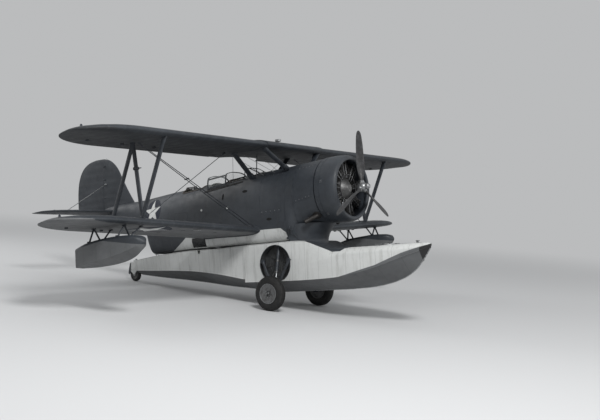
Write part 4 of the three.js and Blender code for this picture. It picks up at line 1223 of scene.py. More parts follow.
def makeWings():
    look = wingLook
    back = look["hingeLine"] * look["chord"]
    high = -back * math.sin(look["incidence"]) + camberAt(look["hingeLine"]) * look["chord"]
    # the upper wing's underside is painted shadow, the lower one grey darkened as painted shade
    for name, under in (("upper", "paintedShadowFabric"), ("lower", "underFabric")):
        lead = wingLeads[name]
        panel = wingPanel(look["roots"][name], lead)
        zone = (back, high, look["nose"], look["aileron"])
        rest = cut(panel, hingeZone(*zone, look["gap"], lead))
        flap = cut(panel, hingeZone(*zone, 0, lead), "INTERSECT")
        both = {"finish": ["blueFabric", under], "groups": isUnder(lead), "crease": 40}
        onBothSides(f"{name}_wing_skin", rest, stands=[f"{name}_wing_*"], **both)
        node = f"{name}_aileron_*"
        onBothSides(f"{name}_aileron_skin", flap, body=node, stands=[node], **both)
    y = np.linspace(-look["centre"], look["centre"], 57)[:, None]
    centre = skin(placed(wingPoints(*roundTheNose(34), y, *look["middle"], sag=False), upperLead))
    behind, radius = look["bite"]
    bite = barrel(
        radius, -0.4, 0.4, spot(upperLead["aft"] + look["chord"] + behind, 0, upperLead["up"]), (0, 0, 1),
        128,
    )
    # the middle panel's underside is painted shadow too
    piece(
        "upper_wing_middle", cut(centre, bite), ["blueFabric", "paintedShadowFabric"], stands=["upper_wing_centre"],
        groups=isUnder(upperLead), crease=40,
    )


def onWing(lead, t, y, side):
    # a point of a wing's skin, without the sag, at a share of the chord and a distance out
    t, y = paired(t, y)
    return placed(wingPoints(t, side, y, 0.0, wingLook["chord"], sag=False, off=0.001), lead)


# Tail surfaces
finRows = [
    # up, lead aft, trail aft, thickness
    [2.040, 8.080, 10.250, 0.120],
    [2.250, 8.210, 10.400, 0.150],
    [2.430, 8.335, 10.432, 0.140],
    [2.760, 8.550, 10.422, 0.128],
    [3.070, 8.725, 10.380, 0.112],
    [3.300, 8.850, 10.290, 0.098],
    [3.430, 8.950, 10.195, 0.086],
    [3.540, 9.080, 10.050, 0.068],
    [3.610, 9.215, 9.870, 0.048],
    [3.645, 9.370, 9.680, 0.026],
]
stabRows = [
    # out, lead aft, trail aft, thickness
    [0, 8.900, 10.090, 0.120],
    [0.70, 8.960, 10.090, 0.112],
    [1.40, 9.030, 10.080, 0.096],
    [1.80, 9.130, 10.020, 0.076],
    [1.98, 9.260, 9.900, 0.054],
    [2.05, 9.410, 9.710, 0.026],
]
tailLook = {
    "ribPitch": 0.20, "sag": 0.0035, "rudderHinge": 9.42, "rudderNose": 0.066, "gap": 0.008, "finFoot": 2.3,
    "stabUp": 2.24, "elevatorHinge": 9.53, "elevatorNose": 0.054, "stabRoot": 0.06, "spacing": 0.025,
    "finEnd": (3.555, 3.645), "stabEnd": (1.955, 2.05),  # where the round ends begin and stop
    "swing": (9.337, 0.56, 0.084),  # room for the rudder between the elevators: from, slope, half width there
}


def tailGrid(rows, at, upright):
    # a symmetric section at each height of the fin or distance out on the tailplane
    lead, trail, thick = (column[:, None] for column in smoothRows(rows, at).T)
    t, side = roundTheNose(30)
    sag = tailLook["sag"] * sagBetween(at[:, None], tailLook["ribPitch"], t, 0.08) * thick / 0.12
    half = side * np.maximum(thick * foil(t, 0.1) - sag, 0.0012)
    aft = lead + t * (trail - lead)
    if upright:
        return spot(aft, half, at[:, None])
    return spot(aft, at[:, None], tailLook["stabUp"] + half)


def tailStations(start, bend, end):
    # even ones, and closer ones on the round end
    return np.concatenate([np.arange(start, bend - 0.005, tailLook["spacing"]), np.linspace(bend, end, 14)])


def makeTail():
    look = tailLook
    whole = skin(tailGrid(finRows, tailStations(finRows[0][0], *look["finEnd"]), True))

    def rudderZone(grow):
        points, quads, tris = hingeZone(look["rudderHinge"], 0, look["rudderNose"], (1.5, 3.9), grow)
        return outward((points @ np.array([[1.0, 0, 0], [0, 0, 1], [0, -1, 0]]), quads, tris))

    foot = block((-look["rudderHinge"] + 0.95, 0, look["finFoot"] - 0.6), (1.9, 0.8, 1.2))
    fin = cut(cut(whole, rudderZone(look["gap"])), foot)
    piece("fin_skin", fin, "tailFabric", stands=["fin"], crease=40)
    rudder = cut(whole, rudderZone(0), "INTERSECT")
    piece("rudder_skin", rudder, "tailFabric", body="rudder", stands=["rudder"], crease=40)
    half = skin(tailGrid(stabRows, tailStations(look["stabRoot"], *look["stabEnd"]), False))
    start, slope, root = look["swing"]
    outline = [[-start, -0.05], [-10.6, -0.05], [-10.6, root + (10.6 - start) * slope], [-start, root]]
    swing = plate(outline, 0.6, (0, 0, 2.25), barAxes["flat"])
    zone = (look["elevatorHinge"], look["stabUp"], look["elevatorNose"], (-0.01, 2.2))
    front = cut(cut(half, hingeZone(*zone, look["gap"])), bodyStretch(bodyLook["joint"], bodyLook["end"]))
    onBothSides("tailplane_skin", cut(front, swing), "tailFabric", stands=["tailplane_*"], crease=40)
    rear = cut(cut(half, hingeZone(*zone, 0), "INTERSECT"), swing)
    onBothSides("elevator_skin", rear, "tailFabric", body="elevators", stands=["elevator_*"], crease=40)


# Struts between the wings
strutLook = {"out": 4.08, "wide": 0.104, "thick": 0.050, "front": 0.09, "rear": 0.585}
cabaneLook = {
    "front": (3.2, 0.43, 2.70), "rear": (4.19, 0.40, 2.60), "out": 1.0, "wide": 0.15, "thick": 0.05,
}


def cabaneEnds():
    # from the fuselage to the underside of the upper wing's middle
    return {
        key: (spot(*cabaneLook[key]), onWing(upperLead, strutLook[key], cabaneLook["out"], -1))
        for key in ("front", "rear")
    }


def makeStruts():
    look = strutLook
    top = {key: onWing(upperLead, look[key], look["out"], -1) for key in ("front", "rear")}
    foot = {key: onWing(lowerLead, look[key], look["out"], 1) for key in ("front", "rear")}
    pairs = [(foot["front"], top["front"]), (foot["rear"], top["rear"]), (foot["front"], top["rear"])]
    bars = [fairedBar(a, b, look["wide"], look["thick"]) for a, b in pairs]
    tie = rod(foot["front"] + [0, 0, 0.03], foot["rear"] + [0, 0, 0.03], 0.007, 8, steps=4)
    lugs = [block(p, (0.13, 0.05, 0.06), 0.01) for p in (*top.values(), *foot.values())]
    onBothSides("wing_strut_bars", bars, "strut", stands=["wing_strut_*"])
    onBothSides("wing_strut_lugs", [tie, *lugs], "strut")
    for key, (start, end) in cabaneEnds().items():
        way = unit(end - start)
        bar = fairedBar(
            start - way * 0.05, end + way * 0.03, cabaneLook["wide"], cabaneLook["thick"], count=28,
        )
        onBothSides(f"cabane_{key}_bar", bar, "strut", stands=[f"cabane_{key}_*"])


# Wires: feet on the fuselage, and shares of the chord and distances out on the wings
wireLook = {
    "wide": 0.026, "thick": 0.012, "flying": {
        "front": ((3.985, 0.56, 1.41), 0.54, 3.99), "rear": ((4.115, 0.56, 1.41), 0.60, 3.89),
    },
    "landing": (1.3, 3.96, 0.04),
    "socket": [
        (0, -0.02), (0.012, -0.02), (0.013, 0.0), (0.012, 0.035), (0.006, 0.045), (0.006, 0.055),
        (0.0095, 0.06),
        (0.0095, 0.11), (0.005, 0.12), (0, 0.12),
    ],
}


def wireShape(start, end):
    # a thin streamline wire with a threaded end, a barrel and a fork at each side
    way = unit(end - start)
    parts = [fairedBar(start, end, wireLook["wide"], wireLook["thick"], count=12, taper=0.5)]
    return together(*parts, *(lathe(wireLook["socket"], p, d, 12) for p, d in ((start, way), (end, -way))))


def mainWires():
    ends = {
        f"flying_wire_{key}": (spot(*foot), onWing(upperLead, share, out, -1))
        for key, (foot, share, out) in wireLook["flying"].items()
    }
    inner, outer, ahead = wireLook["landing"]
    top = onWing(upperLead, strutLook["rear"], inner, -1)
    return {**ends, "landing_wire": (top, onWing(lowerLead, strutLook["front"] + ahead, outer, 1))}


def makeWires():
    for name, (start, end) in mainWires().items():
        onBothSides(f"{name}_line", wireShape(start, end), "strut", stands=[f"{name}_*"])


# Tip floats
tipRows = [
    # aft, keel up, chine out, chine up, top out, top up
    [3.503, 1.130, 0.020, 1.145, 0.026, 1.180],
    [3.580, 1.010, 0.110, 1.090, 0.120, 1.252],
    [3.750, 0.890, 0.180, 1.020, 0.185, 1.292],
    [4.050, 0.800, 0.222, 0.940, 0.215, 1.302],
    [4.450, 0.752, 0.235, 0.875, 0.225, 1.280],
    [4.900, 0.733, 0.215, 0.800, 0.210, 1.222],
    [5.200, 0.733, 0.192, 0.752, 0.188, 1.140],
]
tipLook = {
    "out": 4.584, "feet": (-0.165, 0.150), "tops": (-0.474, -0.029), "rail": 0.012, "wide": 0.046,
    "thick": 0.028,
    "frames": ((4.06, 1.275, "front"), (4.84, 1.205, "rear")),
}


def makeTipFloats():
    look = tipLook
    at = stationsOf(tipRows, 0.04)
    keel, chineY, chineZ, topY, topZ = smoothRows(tipRows, at).T
    corners = cornersOf(
        (0 * keel, keel), (chineY, chineZ), (topY * 1.02, topZ - 0.048), (topY * 0.82, topZ - 0.012),
        (0 * keel, topZ),
    )
    ring = acrossKeel(roundedOutline(corners, [0, 0.025, 0.06], 8))
    body = skin(spot(at[:, None], look["out"] + ring[..., 0], ring[..., 1]))
    onBothSides("tip_float_skin", body, "tipFloat", stands=["tip_float_*"])
    bars, lugs, inner = [], [], []
    for aft, deck, spar in look["frames"]:
        feet = [spot(aft, look["out"] + out, deck) for out in look["feet"]]
        tops = [onWing(lowerLead, strutLook[spar], look["out"] + out, -1) for out in look["tops"]]
        for foot, top in ((feet[1], tops[1]), (feet[0], tops[1]), (feet[0], tops[0])):
            bars.append(fairedBar(foot, top, look["wide"], look["thick"]))
        lugs += [block(foot + [0, 0, 0.016], (0.090, 0.034, 0.036), 0.006) for foot in feet]
        lugs += [block(top - [0, 0, 0.010], (0.100, 0.040, 0.024), 0.006) for top in tops]
        inner.append(feet[0] + [0, 0, look["rail"]])
    way = unit(inner[1] - inner[0]) * 0.04
    bars.append(fairedBar(inner[0] - way, inner[1] + way, 0.026, 0.034, along=(0, 1, 0)))
    onBothSides("tip_float_bars", bars, "strut", stands=["tip_float_struts_*"])
    onBothSides("tip_float_lugs", lugs, "strut")


# Shapes that lie on a surface: place(u, v) gives the points of a grid, and face is a direction or a
# point that says which way is out
def normalsOf(grid, face):
    across, along = np.gradient(grid, axis=1), np.gradient(grid, axis=0)
    normal = unit(np.cross(along, across) + 1e-12)
    sign = np.sign(np.einsum("ijk,ijk->ij", normal, np.broadcast_to(face, grid.shape)))
    return normal * np.where(sign == 0, 1, sign)[..., None]


def slabOn(place, u, v, counts, low, high, face):
    # the part of a surface between two values of u and two of v, and between two offsets along its own
    # normal, closed all round
    grid = place(np.linspace(*u, counts[0])[:, None], np.linspace(*v, counts[1])[None])
    normal = normalsOf(grid, face(grid) if callable(face) else face)
    points = np.concatenate([(grid + normal * off).reshape(-1, 3) for off in (high, low)])
    index = np.arange(grid.shape[0] * grid.shape[1]).reshape(grid.shape[:2])
    top = np.stack([index[:-1, :-1], index[1:, :-1], index[1:, 1:], index[:-1, 1:]], axis=-1).reshape(-1, 4)
    edge = np.concatenate([index[:, 0], index[-1, 1:], index[-2::-1, -1], index[0, -2:0:-1]])
    after = np.roll(edge, -1)
    walls = np.stack([after, edge, edge + index.size, after + index.size], axis=-1)
    return outward((points, np.concatenate([top, top[:, ::-1] + index.size, walls]), noTris))


def span(middle, half):
    return middle - half, middle + half


def loop(path, radius, count=10, helper=(0, 0, 1)):
    # a circle carried round a closed path
    path = np.asarray(path, float)
    along = unit(np.roll(path, -1, axis=0) - np.roll(path, 1, axis=0))
    side = unit(np.cross(along, helper))
    other = np.cross(side, along)
    turn = fullTurn(count)
    grid = path[:, None] + radius * (
        np.cos(turn)[:, None] * side[:, None] + np.sin(turn)[:, None] * other[:, None]
    )
    index = np.arange(grid.shape[0] * count).reshape(-1, count)
    far = np.roll(index, -1, axis=1)
    quads = np.stack([index, far, np.roll(far, -1, axis=0), np.roll(index, -1, axis=0)], axis=-1)
    return outward((grid.reshape(-1, 3), quads.reshape(-1, 4), noTris))


def eyeRing(centre, long, tall, thick):
    # an upright oval ring that lies along the keel
    turn = fullTurn(28)
    path = np.stack([long * np.cos(turn), 0 * turn, tall * np.sin(turn)], -1)
    return loop(np.asarray(centre) + path, thick, 10, (0, 1, 0))


def barrel(radius, low, high, centre, axis, count=24):
    return lathe([[0, low], [radius, low], [radius, high], [0, high]], centre, axis, count)


def stud(radius, high, centre, axis, count):
    # a low head with a bevelled rim
    return lathe(
        [[0, -0.002], [radius, -0.002], [radius, 0.002], [radius - 0.004, high], [0, high]], centre, axis,
        count,
    )


def fromMiddle(grid):
    # the direction away from the middle of the fuselage
    return grid * [0, 1, 1] - [0, 0, 1.9]


def onSide(aft, up):
    # a point of the fuselage's port side at a distance aft and a height
    aft, up = paired(aft, up)
    return spot(aft, bodySide(aft, up).reshape(aft.shape), up)


def onDecking(aft, port):
    aft, port = paired(aft, port)
    return spot(aft, port, bodyTop(aft, port).reshape(aft.shape))


def onDeck(aft, port):
    # a point of the float's deck, straight from its edge to the middle
    aft, port = paired(aft, port)
    deckY, deckZ, crown = hullAt(aft.ravel())[:, 5:].T.reshape(3, *aft.shape)
    share = np.clip(np.abs(port) / deckY, 0, 1)
    return spot(aft, port, deckZ + crown * np.interp(share, [0, 0.6, 1], [1, 0.9, 0]))


def onHullSide(aft, up):
    # a point of the float's port side between the chine, the knee and the deck's edge
    aft, up = paired(aft, up)
    _, chineY, chineZ, kneeY, kneeZ, deckY, deckZ, _ = hullAt(aft.ravel()).T.reshape(8, *aft.shape)
    low = np.clip((up - chineZ) / (kneeZ - chineZ), 0, 1)
    high = np.clip((up - kneeZ) / (deckZ - kneeZ), 0, 1)
    return spot(aft, chineY + (kneeY - chineY) * low + (deckY - kneeY) * high, up)


def near(place, u, v):
    # the same surface, measured from a point on it
    return lambda a, b: place(u + a, v + b)


# Insignia: a white star on a dark disc
starLook = {
    "inner": 0.381966, "disc": 0.0008, "star": 0.0016, "sunk": -0.002, "share": 0.985,
    "body": (7.365, 2.085, 0.305), "slant": 0.09,
    "wings": (("upper", 1, 4.85, 0.68, 0.44), ("lower", -1, 3.50, 0.56, 0.47)),  # side, out, aft, radius
}


def patchOn(place, radius, face, low, high, rings=10, count=100):
    # a patch whose edge lies at a radius, or at radius(turn), from the middle of a surface's own plane
    turn = fullTurn(count)
    share = np.linspace(0, 1, rings + 1)[1:, None]
    edge = radius(turn) if callable(radius) else radius + 0 * turn
    a, b = share * (edge * np.cos(turn)), share * (edge * np.sin(turn))
    grid = place(*(np.concatenate([half, half[:, :1]], axis=1) for half in (a, b)))
    out = normalsOf(grid, face(grid) if callable(face) else face)[:, :-1]
    grid = grid[:, :-1]
    return skin(np.concatenate([grid + out * high, (grid + out * low)[::-1]]))


def oval(long, tall):
    return lambda turn: long * tall / np.hypot(long * np.sin(turn), tall * np.cos(turn))


def starEdge(radius):
    # each edge runs straight from a point at the radius to an inner corner a tenth of a turn away
    def edge(turn):
        fifth = np.pi / 5
        away = np.abs((turn - np.pi / 2 + fifth) % (2 * fifth) - fifth)
        inner = starLook["inner"]
        return radius * inner * math.sin(fifth) / (np.sin(away) + inner * np.sin(fifth - away))

    return edge


def insignia(name, place, radius, face):
    look = starLook
    disc = patchOn(place, radius, face, look["sunk"], look["disc"])
    star = patchOn(place, starEdge(radius * look["share"]), face, look["sunk"] / 2, look["star"])
    onBothSides(f"{name}_disc", disc, "disc")
    onBothSides(f"{name}_star", star, "white")


def onCloth(lead, side):
    # a wing's sagging cloth by the distance out and the distance behind its leading edge
    def place(y, aft):
        y, aft = paired(y, aft)
        front, back = tipPlan(y)
        return placed(wingPoints(np.clip((aft - front) / (back - front), 0.01, 0.99), side, y), lead)

    return place


def makeInsignia():
    aft, up, radius = starLook["body"]
    insignia(
        "body_insignia", lambda a, b: onSide(aft - a, up + b + starLook["slant"] * a), radius, (0, 1, 0),
    )
    for name, side, y, run, radius in starLook["wings"]:
        place = onCloth(wingLeads[name], side)
        insignia(f"{name}_wing_insignia", lambda a, b: place(y + a, run - b), radius, (0, 0, side))


# Cockpit openings, cabin window, hood and windscreen
openingLook = {
    "coaming": 0.017, "corner": 0.07, "railRun": (4.46, 5.62), "rail": (0.402, 0.434), "band": 0.03,
}
archLook = {
    "corners": [(1, 0), (0.97, 0.45), (0.90, 0.83), (0.42, 1)], "radii": [0.12, 0.055, 0.09], "points": 49,
}
hoodLook = {"fore": 4.965, "aft": 5.545, "half": 0.405, "rise": 0.030, "foreUp": 2.835, "aftUp": 2.790}
screenLook = {"aft": 4.43, "bow": 4.435, "deep": 0.34, "half": 0.385, "rise": 0.004, "high": 2.876}
frameLook = {
    # node, body, bows along, how far the bars run, bars over the arch, grid of the panes
    "hood": (
        "sliding_hood", "sliding_hood", ((0, 0.055), (0.945, 1)), (0, 1),
        ((0, 0.035), (0.965, 1), (0.168, 0.200), (0.800, 0.832)), (12, 49),
    ),
    "windscreen": (
        "windscreen", "airframe", ((0.93, 1), (0, 0.05)), (0.03, 0.97),
        ((0, 0.03), (0.97, 1), (0.33, 0.355), (0.645, 0.67)), (14, 60),
    ),
}


def hoodArch(half, low, high, v):
    # the outline from the port rail over the top, its corners rounded, at shares v of its length
    corners = np.array(archLook["corners"]) * [half, high - low] + [0, low]
    corners = np.concatenate([corners, corners[::-1] * [-1, 1]])[None]
    path = roundedOutline(corners, archLook["radii"] + archLook["radii"][::-1], 8)[0]
    arc = arcOf(path)
    share = np.linspace(0, 1, archLook["points"])
    return [np.interp(v, share, np.interp(share * arc[-1], arc, path[:, k])) for k in (0, 1)]


def onHood(u, v):
    # u runs aft from the front bow and v over the arch from port to starboard, both from 0 to 1
    look = hoodLook
    u, v = paired(u, v)
    ends = []
    for at, high in ((look["fore"], look["foreUp"]), (look["aft"], look["aftUp"])):
        low = bodyTop(at, look["half"])[0] + look["rise"]
        ends.append(spot(at, *hoodArch(look["half"], low, high, v)))
    return ends[0] * (1 - u[..., None]) + ends[1] * u[..., None]


def onScreen(u, v):
    # u runs from the foot on the decking, a half oval open aft, up to the rear bow
    look = screenLook
    u, v = paired(u, v)
    turn = (v - 0.5) * np.pi
    foot = onDecking(look["aft"] - look["deep"] * np.cos(turn) ** 0.8, -look["half"] * np.sin(turn))
    low = bodyTop(look["aft"], look["half"])[0] + look["rise"]
    bow = spot(look["bow"], *hoodArch(look["half"], low, look["high"], v))
    return (foot + [0, 0, look["rise"]]) * (1 - u[..., None]) + bow * u[..., None]


def strips(place, rows, low=-0.010, high=0.0):
    # bars on a surface, each between two values of u and two of v
    made = []
    for u, v in rows:
        counts = [max(3, int(abs(b - a) * 60) + 2) for a, b in (u, v)]
        made.append(slabOn(place, u, v, counts, low, high, fromMiddle))
    return made


def makeOpenings():
    look = openingLook
    for name, (fore, aft, half) in zip(("pilot", "middle", "rear"), cockpitCuts):
        outline = roundRect((fore, -half), (aft, half), look["corner"], 8)
        finer = []
        for a, b in zip(outline, np.roll(outline, -1, axis=0)):
            steps = max(1, int(np.linalg.norm(b - a) / 0.03))
            finer += [a + (b - a) * k / steps for k in range(steps)]
        path = onDecking(*np.array(finer).T) + [0, 0, 0.002]
        piece(f"{name}_coaming", loop(path, look["coaming"], 12), "leather")
    # a black rubber strip under the hood's edge, also painted shadow below the hood
    rail = slabOn(onDecking, look["railRun"], look["rail"], (40, 3), -0.003, 0.007, (0, 0.3, 1))
    onBothSides("hood_seal_shadow", rail, "tyre")
    for name, place in (("hood", onHood), ("windscreen", onScreen)):
        node, body, bows, run, bars, counts = frameLook[name]
        frames = strips(place, [(u, (0, 1)) for u in bows], -0.012, 0.002)
        frames += strips(place, [(run, v) for v in bars])
        piece(f"{name}_frame", frames, "strut", body=body, stands=[node])
        glass = slabOn(place, (0.02, 0.98), (0.02, 0.98), counts, -0.007, -0.003, fromMiddle)
        piece(f"{name}_panes", glass, "pane", body=body)
    fore, aft, low, high = (windowCut[key] for key in ("fore", "aft", "low", "high"))
    band = look["band"]
    made = [
        slabOn(onSide, (fore - band, aft + band), (up, up + band), (12, 5), -0.010, 0.004, (0, 1, 0))
        for up in (high, low - band)
    ]
    made += [
        slabOn(onSide, (at, at + band), (low - 0.024, high + 0.024), (4, 12), -0.010, 0.0025, (0, 1, 0))
        for at in (fore - band, aft)
    ]
    onBothSides("window_frame", made, "plainLight")
    # the pane is near black: painted shade of the space behind it
    glass = slabOn(
        onSide, (fore - 0.01, aft + 0.01), (low - 0.01, high + 0.01), (12, 8), -0.014, -0.010, (0, 1, 0),
    )
    onBothSides("window_pane", glass, "darkPane")


# Cockpit: floor, panel, seats and controls
panelLook = {
    "board": ((-0.33, 2.15), (0.33, 2.45)), "corner": 0.06, "aft": 4.408,
    "dials": (  # radius, height, distances out
        (0.038, 2.385, (-0.24, -0.145, -0.05, 0.05, 0.145, 0.24)),
        (0.038, 2.29, (-0.20, -0.10, 0, 0.10, 0.20)),
        (0.024, 2.20, (-0.18, -0.11, 0.11, 0.18)),
    ),
}
seatLook = {
    "places": {"pilot": 4.92, "observer": 6.36}, "low": 2.02, "floor": 1.787, "belt": (0.022, 0.0022),
    "fill": 0.55,
    "overBelt": (  # ahead of the back, out and above the pan
        (0.004, 0.07, 0.43), (0.045, 0.07, 0.442), (0.074, 0.075, 0.36),
        (0.078, 0.085, 0.22), (0.11, 0.08, 0.105), (0.20, 0.05, 0.098),
    ),
    "lapBelt": ((0.12, 0.196, 0.05), (0.15, 0.17, 0.092), (0.19, 0.10, 0.102), (0.22, 0.03, 0.104)),
}
controlLook = {
    "stick": ((-4.47, 0, 1.79), (-4.44, 0, 2.02), (-4.49, 0, 2.14)), "grip": (
        0.017, 0.019, 0.018, 0.019, 0.018, 0.014,
    ),
    "lever": ((-4.62, 0.39, 2.15), (-4.60, 0.37, 2.25)), "levers": 3, "frames": (4.957, 5.65, 6.55),
}


def makePanel():
    look = panelLook
    board = plate(
        roundRect(*look["board"], look["corner"]), 0.02, (-look["aft"], 0, 0),
        [[0, 1, 0], [0, 0, 1], [1, 0, 0]], 0.003,
    )
    bezels, faces, needles = [], [], []
    for index, (y, z, r) in enumerate((y, z, r) for r, z, row in look["dials"] for y in row):
        at = spot(look["aft"] + 0.01, y, z)
        rim = [[r * 0.82, 0], [r, 0], [r, 0.008], [r * 0.9, 0.012], [r * 0.82, 0.01]]
        bezels.append(lathe(rim, at, (-1, 0, 0), 24, closed=True))
        faces.append(barrel(r * 0.84, 0, 0.003, at, (-1, 0, 0)))
        turn = 0.7 + index * 1.9
        base = at - [0.005, 0, 0]
        needles.append(
            rod(base, base + [0, math.cos(turn) * r * 0.62, math.sin(turn) * r * 0.62], 0.0013, 5)
        )
    piece("panel_board", board, "dark", stands=["instrument_panel"])
    piece("panel_dials", faces, "blade")
    piece("panel_bezels", bezels, "steel")
    piece("panel_needles", needles, "white")


def makeSeat(name, aft):
    look = seatLook

    def at(ahead, out, up):
        return np.array([ahead - aft, out, look["low"] + up])

    shell = [block(at(0.20, 0, 0.006), (0.398, 0.398, 0.012), 0.004)]
    shell.append(block(at(0.009, 0, 0.21), (0.014, 0.39, 0.42), 0.004))
    shell += [block(at(0.10, s * 0.192, 0.08), (0.19, 0.012, 0.15), 0.004) for s in (-1, 1)]
    for ahead in (0.27, 0.13):
        for out in (-0.055, 0.055):
            shell.append(rod(at(ahead, out, look["floor"] - look["low"]), at(ahead, out, 0), 0.013, 12))
    piece(f"{name}_seat_shell", shell, "interior", stands=[f"{name}_seat"])
    cushion = cushionShape(at(0.205, 0, 0.014), 0.185, 0.17, 0.066, "flat")
    rest = cushionShape(at(0.02, 0, 0.27), 0.165, 0.13, 0.05, "back")
    for part, shape in (("cushion", cushion), ("back_cushion", rest)):
        made = piece(f"{name}_seat_{part}", shape, "leather")
    belts = []
    for s in (-1, 1):
        for key, across in (("overBelt", (0, 1, 0)), ("lapBelt", (1, 0, 0))):
            path = [at(ahead, s * out, up) for ahead, out, up in look[key]]
            belts.append(ribbon(path, *look["belt"], across))
    piece(f"{name}_belts", belts, "webbing")
    piece(f"{name}_buckle", block(at(0.215, 0, 0.108), (0.055, 0.05, 0.010), 0.004), "steel")


def makeCockpit():
    boards = [block((-5.525, 0, 1.7725), (2.35, 0.76, 0.0245), 0.004)]
    boards += [block((-at, 0, 1.788), (0.03, 0.72, 0.012), 0.003) for at in np.arange(4.5, 6.7, 0.2)]
    piece("cockpit_boards", boards, "interior", stands=["cockpit_floor"])
    makePanel()
    for name, aft in seatLook["places"].items():
        makeSeat(name, aft)
    look = controlLook
    foot, middle, top = (np.array(point) for point in look["stick"])
    stick = tube(bent(foot, middle, top, 14), 0.012, 12)
    grip = rod(top, top + [-0.008, 0, 0.10], look["grip"], 14, steps=6)
    boot = lathe(
        [[0, 0], [0.065, 0], [0.06, 0.02], [0.03, 0.06], [0.013, 0.075], [0, 0.075]], foot, (0, 0, 1), 28,
    )
    piece("control_stick", [stick, grip, boot], "dark")
    pedals, levers, knobs = [], [], []
    for s in (-1, 1):
        pedals.append(block((-4.42, s * 0.15, 1.93), (0.02, 0.09, 0.17), 0.005))
        pedals.append(rod((-4.43, s * 0.15, 1.785), (-4.425, s * 0.15, 1.86), 0.010))
        pedals.append(block((-4.70, s * 0.45, 2.10), (0.34, 0.20, 0.11), 0.008))
    for k in range(look["levers"]):
        low, high = (np.array(point) - [k * 0.03, 0, 0] for point in look["lever"])
        levers.append(rod(low, high, 0.005, 8))
        knob = [[0, -0.014], [0.01, -0.01], [0.014, 0], [0.01, 0.01], [0, 0.014]]
        knobs.append(lathe(knob, high + [0, 0, 0.005], (0, 0, 1), 16))
    piece("rudder_pedals", pedals, "interior")
    piece("throttle_levers", levers + knobs, "dark")
    hoops = [
        loop(onBody(at, fullTurn(bodyLook["points"]), 0.045), 0.014, 8, (1, 0, 0)) for at in look["frames"]
    ]
    piece("cabin_frames", hoops, "interior")


def cushionShape(centre, halfLong, halfWide, high, lie):
    # a superellipse in plan whose height falls to a seam at its edge, with a ring of tuft dips
    inner = np.linspace(0.03, 1, 18)
    share = np.concatenate([inner, inner[-2::-1]])[:, None]
    side = np.concatenate([np.ones(18), -np.ones(17)])[:, None]
    turn = fullTurn(64)
    reach = (np.abs(np.cos(turn)) ** 5 + np.abs(np.sin(turn)) ** 5) ** (-1 / 5)
    a, b = share * reach * np.cos(turn), share * reach * np.sin(turn)
    dips = np.cos(a * 2.4 * np.pi) * np.cos(b * 2.4 * np.pi)
    height = side * (1 - share**4) ** 0.6 * (1 + 0.05 * dips)
    points, quads, tris = skin(np.stack([a * halfLong, b * halfWide, (0.5 + 0.5 * height) * high], -1))
    axes = {"flat": np.eye(3), "back": np.array([[0, 0, 1.0], [0, 1, 0], [1.0, 0, 0]])}[lie]
    return outward((points @ axes + centre, quads, tris))


def ribbon(path, half, thick, across):
    # a flat band along a smooth curve through its points
    path = np.asarray(path, float)
    arc = arcOf(path)
    path = smoothRows(np.column_stack([arc, path]), np.linspace(0, arc[-1], 24))
    along = unit(np.gradient(path, axis=0))
    side = unit(np.asarray(across, float) - along * (along @ np.asarray(across, float))[:, None])
    up = np.cross(along, side) * thick / 2
    side = side * half
    return skin(np.stack([path + side + up, path - side + up, path - side - up, path + side - up], axis=1))


# Wheels and gear legs
wheelLook = {
    "main": {
        "aft": 3.45, "port": 0.93, "up": 0.0, "radius": 0.373, "half": 0.1, "rim": 0.195, "bore": 0.029,
        "grooves": (0.33, 0.11, -0.11, -0.33),
    },
    "tail": {
        "aft": 8.408, "port": 0.0, "up": 0.595, "radius": 0.165, "half": 0.045, "rim": 0.088, "bore": 0.013,
        "grooves": (0.22, -0.22),
    },
}
# the tyre's shoulder from the bead out: share of its depth, share of its half width
shoulderRows = [
    (0.10, 0.90), (0.26, 0.975), (0.45, 1.0), (0.62, 0.965), (0.78, 0.85), (0.90, 0.68), (0.965, 0.50),
]
# the hub from its boss out to the flange: share of the rim, share of its half width
hubRows = [
    (0.55, 0.24), (0.86, 0.42), (0.92, 0.66), (0.985, 0.80), (1.06, 0.86), (1.07, 0.80), (1.0, 0.72),
    (0.985, 0.5),
]
# the dished disc of a main hub, the bright rim about it and its bolts: radius, distance out
discRows = [
    (0.062, 0.058), (0.066, 0.064), (0.12, 0.078), (0.185, 0.091), (0.204, 0.0955), (0.2125, 0.0945),
    (0.2165, 0.090), (0.215, 0.087), (0.204, 0.089), (0.185, 0.086), (0.12, 0.074), (0.066, 0.060),
]
rimRows = [(0.205, 0.0955), (0.209, 0.0985), (0.2155, 0.0975), (0.2175, 0.0925), (0.213, 0.0915)]
boltRows = [(0, 0), (0.007, 0), (0.007, 0.005), (0.004, 0.007), (0, 0.007)]
boltRing = {"count": 10, "radius": 0.085, "out": 0.068}


def tyreShape(look, centre):
    # a round-shouldered section from one rim edge over the tread to the other, with ribs left by grooves
    r, h, rim = look["radius"] - 0.0006, look["half"] - 0.0006, look["rim"]
    side = [(rim + 0.004, 0.74), (rim - 0.001, 0.80)] + [(rim + (r - rim) * a, b) for a, b in shoulderRows]
    near, far = ([(a, s * b * h) for a, b in side] for s in (1, -1))
    floor = r - 0.006 * r / 0.373
    tread = [
        (a, -b * h)
        for at in look["grooves"]
        for a, b in ((r, at - 0.06), (floor, at - 0.045), (floor, at + 0.045), (r, at + 0.06))
    ]
    return lathe(near + tread + far[::-1], centre, (0, 1, 0), 120, closed=True)


def hubShape(look, centre):
    # a dished wheel between the beads, with a flange at each side and a bore for the axle
    h, rim, bore = look["half"], look["rim"], look["bore"]
    half = [(bore, 0.52), (bore * 1.7, 0.54), (bore * 2.1, 0.36)] + [(rim * a, b) for a, b in hubRows]
    near, far = ([(a, s * b * h) for a, b in half] for s in (1, -1))
    return lathe(near + far[::-1], centre, (0, 1, 0), 96, closed=True)


